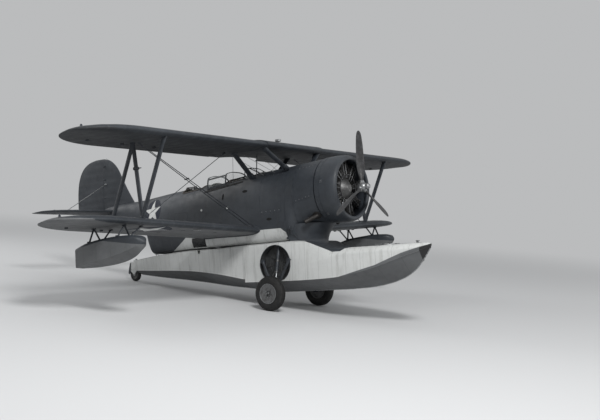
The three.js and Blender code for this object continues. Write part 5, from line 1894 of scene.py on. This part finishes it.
def makeWheels():
    main, tail = wheelLook["main"], wheelLook["tail"]
    centre = spot(main["aft"], main["port"], main["up"])
    bolts = []
    for turn in fullTurn(boltRing["count"]):
        out = np.array(
            [math.cos(turn) * boltRing["radius"], boltRing["out"], math.sin(turn) * boltRing["radius"]]
        )
        bolts.append(lathe(boltRows, centre + out, (0, 1, 0), 6))
    bolts.append(barrel(0.004, 0, 0.012, centre + np.array([0.126, 0.078, 0.106]), (0, 1, 0), 10))
    for name, shape, finish, stands in (
        ("main_tyre", tyreShape(main, centre), "tyre", ["main_wheel_*"]),
        ("main_hub", hubShape(main, centre), "hubPaint", []),
        ("main_hub_disc", lathe(discRows, centre, (0, 1, 0), 96, closed=True), "hubPaint", []),
        ("main_hub_rim", lathe(rimRows, centre, (0, 1, 0), 96, closed=True), "steel", []),
        ("main_hub_bolts", bolts, "steel", []),
    ):
        onBothSides(name, shape, finish, body="main_wheel_*", stands=stands)
    centre = spot(tail["aft"], 0, tail["up"])
    piece("tail_tyre", tyreShape(tail, centre), "tyre", body="tail_wheel", stands=["tail_wheel"])
    piece("tail_hub", hubShape(tail, centre), "hubPaint", body="tail_wheel")


gearLook = {
    "knee": (3.45, 0.78, 0.0), "feet": ((3.12, 0.64, 0.70), (3.83, 0.64, 0.70)), "top": (3.475, 0.50, 1.0),
    "leg": 0.0295, "sleeve": 0.037, "piston": 0.024, "links": (0.10, 0.50), "collars": (0.47, 0.72),
    "knuckle": [[0, -0.058], [0.054, -0.058], [0.059, -0.05], [0.059, 0.05], [0.054, 0.058], [0, 0.058]],
    "socket": [[0, -0.03], [0.036, -0.03], [0.038, -0.02], [0.038, 0.05], [0.030, 0.07], [0, 0.07]],
    "axle": [[0, -0.19], [0.0245, -0.19], [0.0245, 0.19], [0.018, 0.20], [0.018, 0.235], [0, 0.235]],
    "collar": [[0, -0.02], [0.041, -0.02], [0.043, -0.014], [0.043, 0.014], [0.041, 0.02], [0, 0.02]],
}


def makeGear():
    look = gearLook
    inner, fore, rear, top = (spot(*place) for place in (look["knee"], *look["feet"], look["top"]))
    way = unit(top - inner)
    legs = [rod(start, inner, look["leg"], 20, steps=8) for start in (fore, rear)]
    legs.append(rod(inner + way * 0.46, top, look["sleeve"], 24, steps=5))
    legs.append(lathe(look["knuckle"], inner, (0, 1, 0), 32))
    for start in (fore, rear):
        legs.append(lathe(look["socket"], start, unit(inner - start), 20))
        legs.append(barrel(0.034, -0.04, 0.04, start, (0, 1, 0), 20))
    onBothSides("gear_leg_tubes", legs, "strut", stands=["main_gear_leg_*"])
    bright = [rod(inner + way * 0.04, inner + way * 0.5, look["piston"], 24, steps=4)]
    bright.append(lathe(look["axle"], inner + [0, 0.05, 0], (0, 1, 0), 24))
    onBothSides("gear_leg_piston", bright, "steel")
    fittings = [lathe(look["collar"], inner + way * share, way, 24) for share in look["collars"]]
    middle = inner + way * 0.30 + np.array([-0.13, 0, 0])
    for share in look["links"]:
        ahead = [-0.03, 0, 0]
        for s in (-0.018, 0.018):
            start = inner + way * share + ahead
            fittings.append(fairedBar(start + [0, s, 0], middle + [0, s, 0], 0.030, 0.010, count=12))
    fittings.append(rod(middle - [0, 0.03, 0], middle + [0, 0.03, 0], 0.011, 12))
    onBothSides("gear_leg_fittings", fittings, "castMetal")
    line = bent(
        fore + [0.0, 0.03, -0.03], (fore + inner) / 2 + [0.05, 0.05, 0], inner + [0.055, 0.03, 0.03], 20,
    )
    brake = [tube(line, 0.005, 8)]
    brake += [
        barrel(0.034, -0.008, 0.008, fore + (inner - fore) * s, unit(inner - fore), 16) for s in (0.3, 0.62)
    ]
    onBothSides("brake_line", brake, "dark")


def makeWells():
    look = wellLook
    base = look["inner"] + 0.004

    def inWell(radius, turn):
        return spot(look["aft"] - radius * np.cos(turn), base, look["up"] + radius * np.sin(turn))

    ribs = []
    for turn in fullTurn(look["spokes"]) + 0.2:
        a, b = (inWell(radius, turn) for radius in look["spoke"])
        ribs.append(fairedBar(a, b, 0.022, 0.02, along=(0.3, 0.1, 0.2), count=10))
    ribs += [loop(inWell(radius, fullTurn(72)), 0.009, 8, (0, 1, 0)) for radius in look["hoops"]]
    # the ribs inside the wells take the same painted shade
    onBothSides("well_ribs", ribs, "wellPaint")
    edge = inWell(look["radius"] + 0.004, np.linspace(-1.02, np.pi + 1.02, 90))
    onBothSides("well_lip", tube(onHullSide(-edge[:, 0], edge[:, 2]) + [0, 0.001, 0], 0.0075), "strut")


# Fittings of the main float: lines are from, to, points
floatLook = {
    "rails": ((0.06, 3.36, 90), (3.672, 4.372, 24), (4.40, 8.15, 90)), "rail": 0.009,
    "beads": ((0.10, 4.37, 110), (4.40, 8.15, 100)), "keels": ((0.02, 4.374, 120), (4.392, 8.17, 110)),
    "hatch": (0.98, 0.20), "cleats": (1.02, 5.2, 7.3), "walks": ((0.50, 0.74), (1.24, 1.80)),
    "lug": (5.75, 1.025),
}
hornThick = [0.006, 0.009, 0.010, 0.009, 0.006]
upAxis = (0, 0, 1)


def makeFloatTrim():
    look = floatLook
    rails, seams, keels = [], [], []
    for fore, rear, count in look["rails"]:
        at = np.linspace(fore, rear, count)
        numbers = hullAt(at)
        rails.append(tube(spot(at, numbers[:, 1] + 0.001, numbers[:, 2]), look["rail"], 8))
    # finished by position, so the chine rail near the bow takes the painted shade of the bow's sides
    onBothSides("chine_rail", rails, "lightGrey")
    for fore, rear, count in look["beads"]:
        at = np.linspace(fore, rear, count)
        numbers = hullAt(at)
        seams.append(tube(spot(at, numbers[:, 5] - 0.004, numbers[:, 6] - 0.006), 0.0065, 8))
    # finished by position, so the bead by the prow takes the painted shadow on the deck there
    onBothSides("deck_edge_bead", seams, "lightGrey")
    for fore, rear, count in look["keels"]:
        at = np.linspace(fore, rear, count)
        path = spot(at, 0, hullAt(at)[:, 0] + 0.004)
        up = np.cross(unit(np.gradient(path, axis=0)), [0, 1.0, 0])
        up *= np.sign(up[:, 2:])
        wide = np.array([0, 0.013, 0])
        corners = [(wide, 0.004), (-wide, 0.004), (-wide * 0.8, -0.010), (wide * 0.8, -0.010)]
        keels.append(skin(np.stack([path + out + up * rise for out, rise in corners], axis=1)))
    piece("keel_strip", keels, "steel")
    at, r = look["hatch"]
    turn = fullTurn(48)
    rims = [loop(onDeck(at + r * np.cos(turn), r * np.sin(turn)) + [0, 0, 0.006], 0.010)]
    rims += [block(onDeck(at - r, s * 0.05) + [0, 0, 0.012], (0.05, 0.024, 0.018), 0.004) for s in (-1, 1)]
    hatch = [patchOn(near(onDeck, at, 0), r - 0.012, upAxis, -0.004, 0.012, 8, 48)]
    hatch.append(block(onDeck(at + 0.06, 0.0) + [0, 0, 0.020], (0.10, 0.024, 0.014), 0.004))
    piece("deck_hatches", hatch, "plainLight")
    piece("deck_hatch_rims", rims, "steel")
    cleats = []
    for at in look["cleats"]:
        foot = onDeck(at, float(hullAt([at])[0, 5]) - 0.07)
        cleats += [rod(foot + [off, 0, -0.006], foot + [off, 0, 0.032], 0.009, 12) for off in (-0.03, 0.03)]
        horn = np.array(
            [[-0.085, 0, 0.040], [-0.05, 0, 0.033], [0, 0, 0.031], [0.05, 0, 0.033], [0.085, 0, 0.040]]
        )
        cleats.append(tube(foot + horn, [0.005, 0.009, 0.010, 0.009, 0.005], 12))
    onBothSides("deck_cleats", cleats, "steel")
    walks = [slabOn(onDeck, u, (-0.14, 0.14), (14, 7), -0.003, 0.0035, upAxis) for u in look["walks"]]
    piece("deck_walkway", walks, "blade")
    base = [block((-0.30, 0, 0.884), (0.14, 0.07, 0.010), 0.003)]
    base.append(block((-0.30, 0, 0.906), (0.056, 0.034, 0.046), 0.006))
    base.append(rod((-0.254, 0, 0.927), (-0.346, 0, 0.927), hornThick, 12, steps=5))
    piece("bow_cleat_body", base, "steel", stands=["bow_cleat"])
    piece("towing_eye", eyeRing((-0.205, 0, hullAt([0.20])[0, 0] + 0.012), 0.030, 0.030, 0.007), "steel")
    # a black bead along the fuselage's joint with the float: a rubber strip that also paints the shade in the
    # recess there
    at = np.linspace(4.42, 7.22, 70)
    bead = tube(onSide(at, np.interp(at, [4.4, 6.0, 7.25], [1.106, 1.112, 1.075])), 0.011)
    onBothSides("body_joint_shadow_bead", bead, "dark")
    outline = [[-0.036, 0.035], [0.036, 0.035], [0.012, -0.045], [-0.012, -0.045]]
    lug = plate(outline, 0.02, onHullSide(*look["lug"]) + [0, 0.008, 0], barAxes["upright"], 0.003)
    onBothSides("float_side_lug", lug, "dark")


# Tail wheel fork, mount and water rudder: outlines are aft, up
forkLook = {
    "plate": [
        (8.309, 0.9135), (8.3065, 0.705), (8.330, 0.672), (8.372, 0.640), (8.378, 0.60), (8.381, 0.573),
        (8.396, 0.5725), (8.42, 0.5725), (8.435, 0.573), (8.440, 0.60), (8.460, 0.640), (8.50, 0.668),
        (8.520, 0.690), (8.512, 0.80), (8.500, 0.9135),
    ],
    "blade": [
        (8.5165, 0.801), (8.5165, 0.904), (8.588, 0.904), (8.610, 0.85), (8.640, 0.75), (8.664, 0.66),
        (8.666, 0.645), (8.655, 0.632), (8.63, 0.620), (8.612, 0.614), (8.585, 0.665), (8.55, 0.735),
    ],
    "rivets": (
        (8.335, 0.885), (8.335, 0.80), (8.335, 0.73), (8.49, 0.885), (8.495, 0.80), (8.49, 0.73),
        (8.412, 0.89),
    ),
    "out": 0.057, "face": 0.0635,
}


def makeTailWheel():
    look = forkLook
    side, upright = (0, 1, 0), barAxes["upright"]
    prongs = [
        plate(np.array(look["plate"]) * [-1, 1], 0.013, (0, s * look["out"], 0), upright, 0.003)
        for s in (-1, 1)
    ]
    crown = block((-8.4185, 0, 0.847), (0.192, 0.130, 0.132), 0.010)
    piece("tail_fork_plates", [crown, *prongs], "plainLight", body="tail_fork", stands=["tail_wheel_fork"])
    centre = spot(wheelLook["tail"]["aft"], 0, wheelLook["tail"]["up"])
    axle = [barrel(0.0122, -0.060, 0.060, centre, side, 20)]
    for s in (-1, 1):
        nut = [[0, 0], [0.020, 0], [0.020, 0.010], [0.013, 0.016], [0, 0.016]]
        axle.append(lathe(nut, centre + [0, s * look["face"], 0], (0, s, 0), 6))
        for aft, up in look["rivets"]:
            head = [[0, 0], [0.006, 0], [0.006, 0.003], [0, 0.004]]
            axle.append(lathe(head, spot(aft, s * look["face"], up), (0, s, 0), 10))
    piece("tail_fork_axle", axle, "steel", body="tail_fork")
    post = [block((-8.2255, 0, 0.877), (0.085, 0.138, 0.168), 0.010)]
    post.append(block((-8.3065, 0, 0.941), (0.249, 0.118, 0.040), 0.008))
    piece("tail_mount_body", post, "plainLight", stands=["tail_wheel_mount"])
    cap = [[0, 0.0], [0.034, 0.0], [0.034, 0.012], [0.022, 0.018], [0.018, 0.034], [0, 0.036]]
    piece("tail_pivot_cap", lathe(cap, spot(8.372, 0, 0.960), upAxis, 24), "steel")
    blade = plate(np.array(look["blade"]) * [-1, 1], 0.0165, (0, 0, 0), upright, 0.004)
    piece("water_rudder_blade", blade, "strut", body="tail_fork", stands=["water_rudder"])
    horns = [
        block((-8.53, s * 0.012, up), (0.05, 0.010, 0.018), 0.003) for s in (-1, 1) for up in (0.825, 0.885)
    ]
    piece("water_rudder_hinges", horns, "steel", body="tail_fork")


# Exhausts, hoist fitting, tail braces
exhaustLook = {
    "start": (2.42, 0.43, 1.62), "end": (2.64, 0.64, 1.48), "flange": (2.444, math.radians(-49.5), 0.105),
    "bend": 1.4,
}
hoistLook = {"at": (-3.707, 0), "top": 3.45}
braceLook = {"fin": (9.30, 0.03, 2.99), "tailplane": (9.35, 1.33, 2.28), "wide": 0.032, "thick": 0.019}


def makeFittings():
    start, end = spot(*exhaustLook["start"]), spot(*exhaustLook["end"])
    way = unit(end - start)
    long = float(np.linalg.norm(end - start))
    pipe = [
        [0.0465, 0], [0.0470, long * 0.6], [0.0478, long - 0.006], [0.0478, long], [0.0430, long],
        [0.0425, long * 0.6], [0.042, 0],
    ]
    clamp = [[0.0475, long * 0.58], [0.0535, long * 0.59], [0.0535, long * 0.65], [0.0475, long * 0.66]]
    pipes = [lathe(profile, start, way, 48, closed=True) for profile in (pipe, clamp)]
    onBothSides("exhaust_pipe", pipes, "burntSteel", stands=["exhaust_*"])
    aft, turn, radius = exhaustLook["flange"]
    place = lambda a, b: onBody(aft + a, turn + b * exhaustLook["bend"])
    onBothSides("exhaust_flange", patchOn(place, radius, fromMiddle, -0.003, 0.006, 8, 48), "burntSteel")
    at, top = hoistLook["at"], hoistLook["top"]
    hoist = [block((*at, top - 0.028), (0.118, 0.088, 0.052), 0.008)]
    hoist.append(eyeRing((*at, top - 0.040), 0.034, 0.032, 0.0075))
    piece("hoist_shackle", hoist, "steel", stands=["hoist_fitting"])
    look = braceLook
    a, b = spot(*look["fin"]), spot(*look["tailplane"])
    way = unit(b - a)
    bar = fairedBar(a, b, look["wide"], look["thick"], taper=0.6)
    onBothSides("tail_brace_bar", bar, "steel", stands=["tail_brace_*"])
    lugs = [
        block(a + way * 0.035, (0.075, 0.016, 0.03), 0.004),
        block(b - way * 0.02, (0.075, 0.05, 0.02), 0.004),
    ]
    onBothSides("tail_brace_lugs", lugs, "steel")


# Small things along the fuselage: a mount ring behind the rear seat, lamps, slots, step, door edges
bodyTrimLook = {
    "lamps": ((5.635, 1.985), (4.823, 1.969)), "slot": (4.964, 2.236), "holds": ((3.60, 1.62), (4.30, 2.30)),
    "step": (3.042, 1.362), "stepFeet": ((3.176, 0.555, 1.176), (2.936, 0.53, 1.16)), "straps": (2.905, 3.15),
    "panels": ((2.42, 2.87), (3.25, 3.85)), "panelTurn": (math.radians(-14), math.radians(52)),
    "door": (6.10, 6.56, 1.46, 1.98), "band": 0.012,
}


def makeRearRail():
    foot = onDecking(6.47, 0.0)
    parts = [block(foot + [0, 0, 0.018], (0.09, 0.15, 0.045), 0.010)]
    parts.append(block((-6.255, 0, 2.548), (0.13, 0.050, 0.036), 0.008))
    parts += [block((x, 0, 2.580), (0.022, 0.075, 0.050), 0.006) for x in (-6.225, -6.285)]
    parts.append(rod((-6.255, 0, 2.50), (-6.255, 0, 2.55), 0.016, 14))
    fork = [(6.38, 0.055, 2.55), (6.31, 0.04, 2.545), (6.22, 0.03, 2.545)]
    ring = [(6.44, 0.06, 2.60), (6.40, 0.15, 2.60), (6.20, 0.24, 2.585), (6.00, 0.25, 2.59)]
    for s in (-1, 1):
        near, far = ([spot(aft, s * out, up) for aft, out, up in path] for path in (fork, ring))
        parts.append(tube([foot + [0, s * 0.06, 0.03], *near], 0.012))
        parts.append(tube(far, 0.011))
        parts.append(rod(far[-1], onDecking(6.00, s * 0.318) - [0, 0, 0.01], 0.009))
    piece("rear_rail", parts, "dark")


def makeBodyTrim():
    look = bodyTrimLook
    side = (0, 1, 0)
    makeRearRail()
    lamps = [patchOn(near(onSide, *at), 0.027, side, -0.003, 0.004, 5, 32) for at in look["lamps"]]
    onBothSides("side_lamps", lamps, "white")
    # a flat patch, near black as the painted shade of a slot
    slot = patchOn(near(onSide, *look["slot"]), oval(0.024, 0.075), side, -0.003, 0.003, 6, 48)
    onBothSides("hand_slot", slot, "slotBlack")
    aft, up = look["step"]
    apex, feet = onSide(aft, up) + [0, 0.085, 0], [spot(*foot) for foot in look["stepFeet"]]
    ends = [*feet, onSide(aft, 1.44)]
    step = [rod(apex, foot - [0, 0.01, 0], 0.0105, 12, steps=5) for foot in ends]
    step.append(block(apex + [0, -0.01, 0.004], (0.15, 0.07, 0.014), 0.005))
    pad = [[0, -0.004], [0.028, -0.004], [0.028, 0.005], [0.02, 0.008], [0, 0.008]]
    step += [lathe(pad, foot, side, 20) for foot in feet]
    onBothSides("entry_step", step, "strut")
    # flat patches, near black as the painted shade of hand holds
    holds = [
        patchOn(near(onSide, *at), oval(0.075, 0.030), side, -0.003, 0.003, 6, 40) for at in look["holds"]
    ]
    onBothSides("hand_holds", holds, "slotBlack")
    sweep = math.radians(-48), math.radians(228)
    straps = [
        slabOn(onBody, span(aft, 0.016), sweep, (3, 120), -0.003, 0.0028, fromMiddle)
        for aft in look["straps"]
    ]
    piece("firewall_straps", straps, "strut")
    low, high = look["panelTurn"]
    edges, studs = [], []
    for run in look["panels"]:
        for turn in (low, high):
            edges.append(slabOn(onBody, run, span(turn, 0.009), (16, 3), -0.002, 0.0022, fromMiddle))
        for at in run:
            edges.append(slabOn(onBody, span(at, 0.006), (low, high), (3, 30), -0.002, 0.0016, fromMiddle))
        for turn in (low + 0.05, high - 0.05):
            for at in np.linspace(run[0] + 0.05, run[1] - 0.05, 5):
                base = onBody(at, turn)
                studs.append(stud(0.009, 0.0035, base, unit(fromMiddle(base)), 12))
    onBothSides("panel_edges", edges, "strut")
    onBothSides("panel_studs", studs, "steel")
    fore, rear, low, high = look["door"]
    band = look["band"]
    door = [
        slabOn(onSide, (fore, rear), (up, up + band), (14, 3), -0.002, 0.0022, side)
        for up in (low, high - band)
    ]
    door += [
        slabOn(onSide, (at, at + band), (low, high), (3, 16), -0.002, 0.0016, side)
        for at in (fore, rear - band)
    ]
    onBothSides("side_door_edges", door, "strut")


def rootLine(lead, y0):
    # the wing section where it runs into the fuselage side, found by a few steps outward
    t = (1 - np.cos(np.linspace(0, np.pi, 40))) / 2
    t = np.concatenate([t[::-1], t[1:-1]])
    side = np.concatenate([np.ones(40), -np.ones(38)])
    y = np.full(len(t), y0)
    for _ in range(6):
        points = placed(wingPoints(t, side, y, 0.0, wingLook["chord"], sag=False), lead)
        y = y + bodySide(-points[:, 0], points[:, 2]) - points[:, 1]
    return placed(wingPoints(t, side, y, 0.0, wingLook["chord"], sag=False), lead)


# Small things on the wings: distances out and aft, radii
wingTrimLook = {
    "root": 0.58, "walk": ((0.16, 1.22), (0.62, 0.98)), "lamp": (5.72, 0.62), "cap": (0.62, 0.50, 0.055),
    "joint": ((0.02, 1.66), (1.053, 1.105)), "brackets": (3.30, 4.19, 5.08),
    "landingLamp": (2.45, 0.20, 0.085),
    "covers": ((1.75, 0.32), (1.75, 1.02), (2.75, 0.32), (2.75, 1.02)), "cover": 0.040, "clampUp": 2.61,
    "lampBase": [[0, -0.01], [0.030, -0.01], [0.032, 0.004], [0.026, 0.008], [0, 0.008]],
    "lampGlass": [[0, 0], [0.024, 0.0], [0.024, 0.012], [0.018, 0.028], [0.008, 0.036], [0, 0.037]],
}


def strutEnds(key, rear=None):
    # where a wing strut meets the lower wing and the upper one
    low = onWing(lowerLead, strutLook[key], strutLook["out"], 1)
    return low, onWing(upperLead, strutLook[rear or key], strutLook["out"], -1)


def makeWingTrim():
    look = wingTrimLook
    onBothSides("wing_root_bead", loop(rootLine(lowerLead, look["root"]), 0.019, 10, (0, 1, 0)), "strut")
    turned = lambda lead, side: lambda u, v: onCloth(lead, side)(v, u)
    walk = slabOn(turned(lowerLead, 1), *look["walk"], (30, 14), -0.004, 0.0035, upAxis)
    onBothSides("wing_walk", walk, "blade")
    bases = [onCloth(lead, 1)(*look["lamp"]) for lead in wingLeads.values()]
    glass = [lathe(look["lampGlass"], base + [0, 0, 0.006], upAxis, 24) for base in bases]
    onBothSides("wing_lamps", glass, "disc")
    onBothSides("wing_lamp_bases", [lathe(look["lampBase"], base, upAxis, 24) for base in bases], "steel")
    out, aft, radius = look["cap"]
    onBothSides(
        "fuel_caps", patchOn(near(onMiddle, out, aft), radius, upAxis, -0.003, 0.008, 5, 32), "steel",
    )
    cover = [
        slabOn(turned(upperLead, side), *look["joint"], (50, 4), -0.002, 0.004, (0, 0, side))
        for side in (1, -1)
    ]
    onBothSides("wing_joint_cover", cover, "strut")
    back = wingLook["hingeLine"] * wingLook["chord"] - 0.075
    brackets = [
        block(onCloth(lead, -1)(y, back) - [0, 0, 0.012], (0.085, 0.022, 0.040), 0.005)
        for lead in wingLeads.values() for y in look["brackets"]
    ]
    onBothSides("aileron_brackets", brackets, "strut")
    out, aft, radius = look["landingLamp"]
    lens = patchOn(near(onCloth(lowerLead, -1), out, aft), radius, (0, 0, -1), -0.004, 0.006, 8, 48)
    onBothSides("landing_lamp", lens, "steel")
    covers = [
        patchOn(near(onCloth(lead, -1), *at), look["cover"], (0, 0, -1), -0.003, 0.003, 5, 32)
        for lead in wingLeads.values() for at in look["covers"]
    ]
    onBothSides("inspection_covers", covers, "strut")
    cuffs = []
    for key in ("front", "rear"):
        low, up = strutEnds(key)
        way = unit(up - low)
        for p, d in ((up, -way), (low, way)):
            cuffs.append(fairedBar(p - d * 0.01, p + d * 0.12, 0.112, 0.060, taper=0.92))
    onBothSides("strut_cuffs", cuffs, "strut")
    low, high = strutEnds("front", "rear")
    at = low + (high - low) * (look["clampUp"] - low[2]) / (high[2] - low[2])
    stub = rod(at, at + [0.14, 0, 0], [0.012, 0.012, 0.011, 0.010, 0.008], 14, steps=5)
    piece("strut_clamp", mirrored(together(block(at, (0.13, 0.058, 0.060), 0.010), stub)), "strut")
    ends = [mainWires()[f"flying_wire_{key}"] for key in ("front", "rear")]
    fore, rear = (a + (b - a) * 0.62 for a, b in ends)
    away = unit(rear - fore) * 0.09
    along = tuple(unit(ends[0][1] - ends[0][0]))
    spreader = fairedBar(fore - away, rear + away, 0.034, 0.024, along=along, count=14, taper=0.4)
    onBothSides("wire_spreader", spreader, "strut")


def onMiddle(port, aft):
    # a point on top of the upper wing's middle panel
    port, aft = paired(port, aft)
    front, back, thin, drop = wingLook["middle"]
    return placed(
        wingPoints((aft - front) / (back - front), 1, port, front, back, thin, drop, sag=False), upperLead,
    )


tailTrimLook = {
    "rudderBrackets": (2.62, 3.10, 3.45), "elevatorBrackets": (0.45, 1.05, 1.65), "tab": (2.50, 3.02),
    "lamp": [[0, -0.02], [0.016, -0.02], [0.016, 0.012], [0.011, 0.024], [0, 0.028]],
    "lampAt": (9.28, 0, 3.630),
}


def makeTailTrim():
    look, tail = tailTrimLook, tailLook
    brackets = [
        block(spot(tail["rudderHinge"] - 0.085, 0.060, up), (0.06, 0.020, 0.030), 0.004)
        for up in look["rudderBrackets"]
    ]
    onBothSides("rudder_brackets", brackets, "strut")
    brackets = [
        block(spot(tail["elevatorHinge"] - 0.075, out, tail["stabUp"] + off), (0.06, 0.020, 0.018), 0.004)
        for out in look["elevatorBrackets"] for off in (0.048, -0.048)
    ]
    onBothSides("elevator_brackets", brackets, "strut")

    def onTab(u, v):
        trail = smoothRows(finRows, v.ravel())[:, 1][None]
        return spot(10.10 + u * (trail - 10.114), 0.020 - 0.016 * u, v + 0 * u)

    tab = slabOn(onTab, (0, 1), look["tab"], (8, 10), -0.002, 0.0022, (0, 1, 0))
    onBothSides("rudder_tab", tab, "strut", body="rudder")
    piece("fin_lamp", lathe(look["lamp"], spot(*look["lampAt"]), upAxis, 20), "steel")
    at = np.linspace(8.45, 9.32, 40)
    out = np.interp(at, [8.45, 8.7, 9.32], [0.006, 0.052, 0.060])
    fillet = spot(at, out, bodyTop(at, out) + 0.002)
    onBothSides("fin_fillet", tube(fillet, np.interp(at, [8.45, 8.6, 9.32], [0.004, 0.016, 0.014])), "strut")


mastLook = {
    "mast": ((4.141, 0.30, 2.66), (4.105, 0.30, 3.14)),
    "wires": (
        ((3.56, 0.40, 2.66), (4.25, 0.62, 3.12)), ((3.86, 0.40, 2.63), (4.54, 0.56, 3.10)),
        ((4.72, 0.44, 2.52), (4.28, 0.94, 3.12)),
    ),
}


def makeMastAndWires():
    foot, top = (spot(*place) for place in mastLook["mast"])
    piece("aerial_mast", mirrored(fairedBar(foot, top, 0.026, 0.014, count=16, taper=0.9)), "strut")
    ends = [(spot(*a), spot(*b)) for a, b in mastLook["wires"]]
    socket = [[0, 0], [0.010, 0], [0.010, 0.08], [0.005, 0.09], [0, 0.09]]
    wires = [rod(a, b, 0.0042, 8, steps=4) for a, b in ends] + [
        lathe(socket, a, unit(b - a), 12) for a, b in ends
    ]
    onBothSides("cabane_wires", wires, "steel")
    feet = []
    for start, end in cabaneEnds().values():
        way = unit(end - start)
        feet.append(fairedBar(start - way * 0.02, start + way * 0.12, 0.185, 0.085, count=24, taper=0.86))
        feet.append(fairedBar(end - way * 0.10, end + way * 0.02, 0.175, 0.07, count=24, taper=0.88))
    onBothSides("cabane_cuffs", feet, "strut")


# Gill flaps round the cowl's rear edge, panel straps and latches
gillLook = {"flaps": 26, "gap": 0.006, "long": 0.105, "straps": np.radians([12, 84, 96, 168, 228, 312])}


def makeCowlTrim():
    look, front, rear = gillLook, cowlLook["front"], cowlLook["rear"]

    def onCowl(aft, turn):
        aft, turn = paired(aft, turn)
        radius = np.interp(aft, [rear - 0.28, rear], [cowlLook["widest"], cowlLook["tail"]])
        return spot(aft, radius * np.cos(turn), hub["up"] + radius * np.sin(turn))

    away = lambda grid: grid * [0, 1, 1] - [0, 0, hub["up"]]
    half = np.pi / look["flaps"] - look["gap"]
    middles = fullTurn(look["flaps"]) + np.pi / look["flaps"]
    run = rear - look["long"], rear - 0.003
    flaps = [slabOn(onCowl, run, span(middle, half), (4, 7), -0.004, 0.0035, away) for middle in middles]
    piece("cowl_flaps", flaps, "cowl")
    straps = [slabOn(onCowl, span(rear - 0.120, 0.008), (0, 2 * np.pi), (3, 145), -0.002, 0.003, away)]
    run = front + 0.30, rear - 0.128
    straps += [
        slabOn(onCowl, run, span(turn, 0.011), (12, 3), -0.002, 0.0025, away) for turn in look["straps"]
    ]
    piece("cowl_straps", straps, "strut")
    studs = []
    for turn in look["straps"]:
        for at in np.linspace(front + 0.33, rear - 0.16, 3):
            for base in (onCowl(at, turn - 0.026), onCowl(at, turn + 0.026)):
                studs.append(stud(0.008, 0.0035, base, unit(away(base)), 10))
    piece("cowl_studs", studs, "steel")


makeHull()
makeFuselage()
print("float and fuselage made")
makeCowl()
makeEngine()
makePropeller()
print("engine and propeller made")
makeWings()
makeTail()
print("wings and tail made")
makeStruts()
makeWires()
makeTipFloats()
print("struts, wires and small floats made")
makeInsignia()
makeOpenings()
makeCockpit()
print("cockpits and insignia made")
makeWheels()
makeGear()
makeWells()
makeTailWheel()
print("wheels made")
makeFloatTrim()
makeFittings()
makeBodyTrim()
makeWingTrim()
makeTailTrim()
makeMastAndWires()
makeCowlTrim()
print("small fittings made")
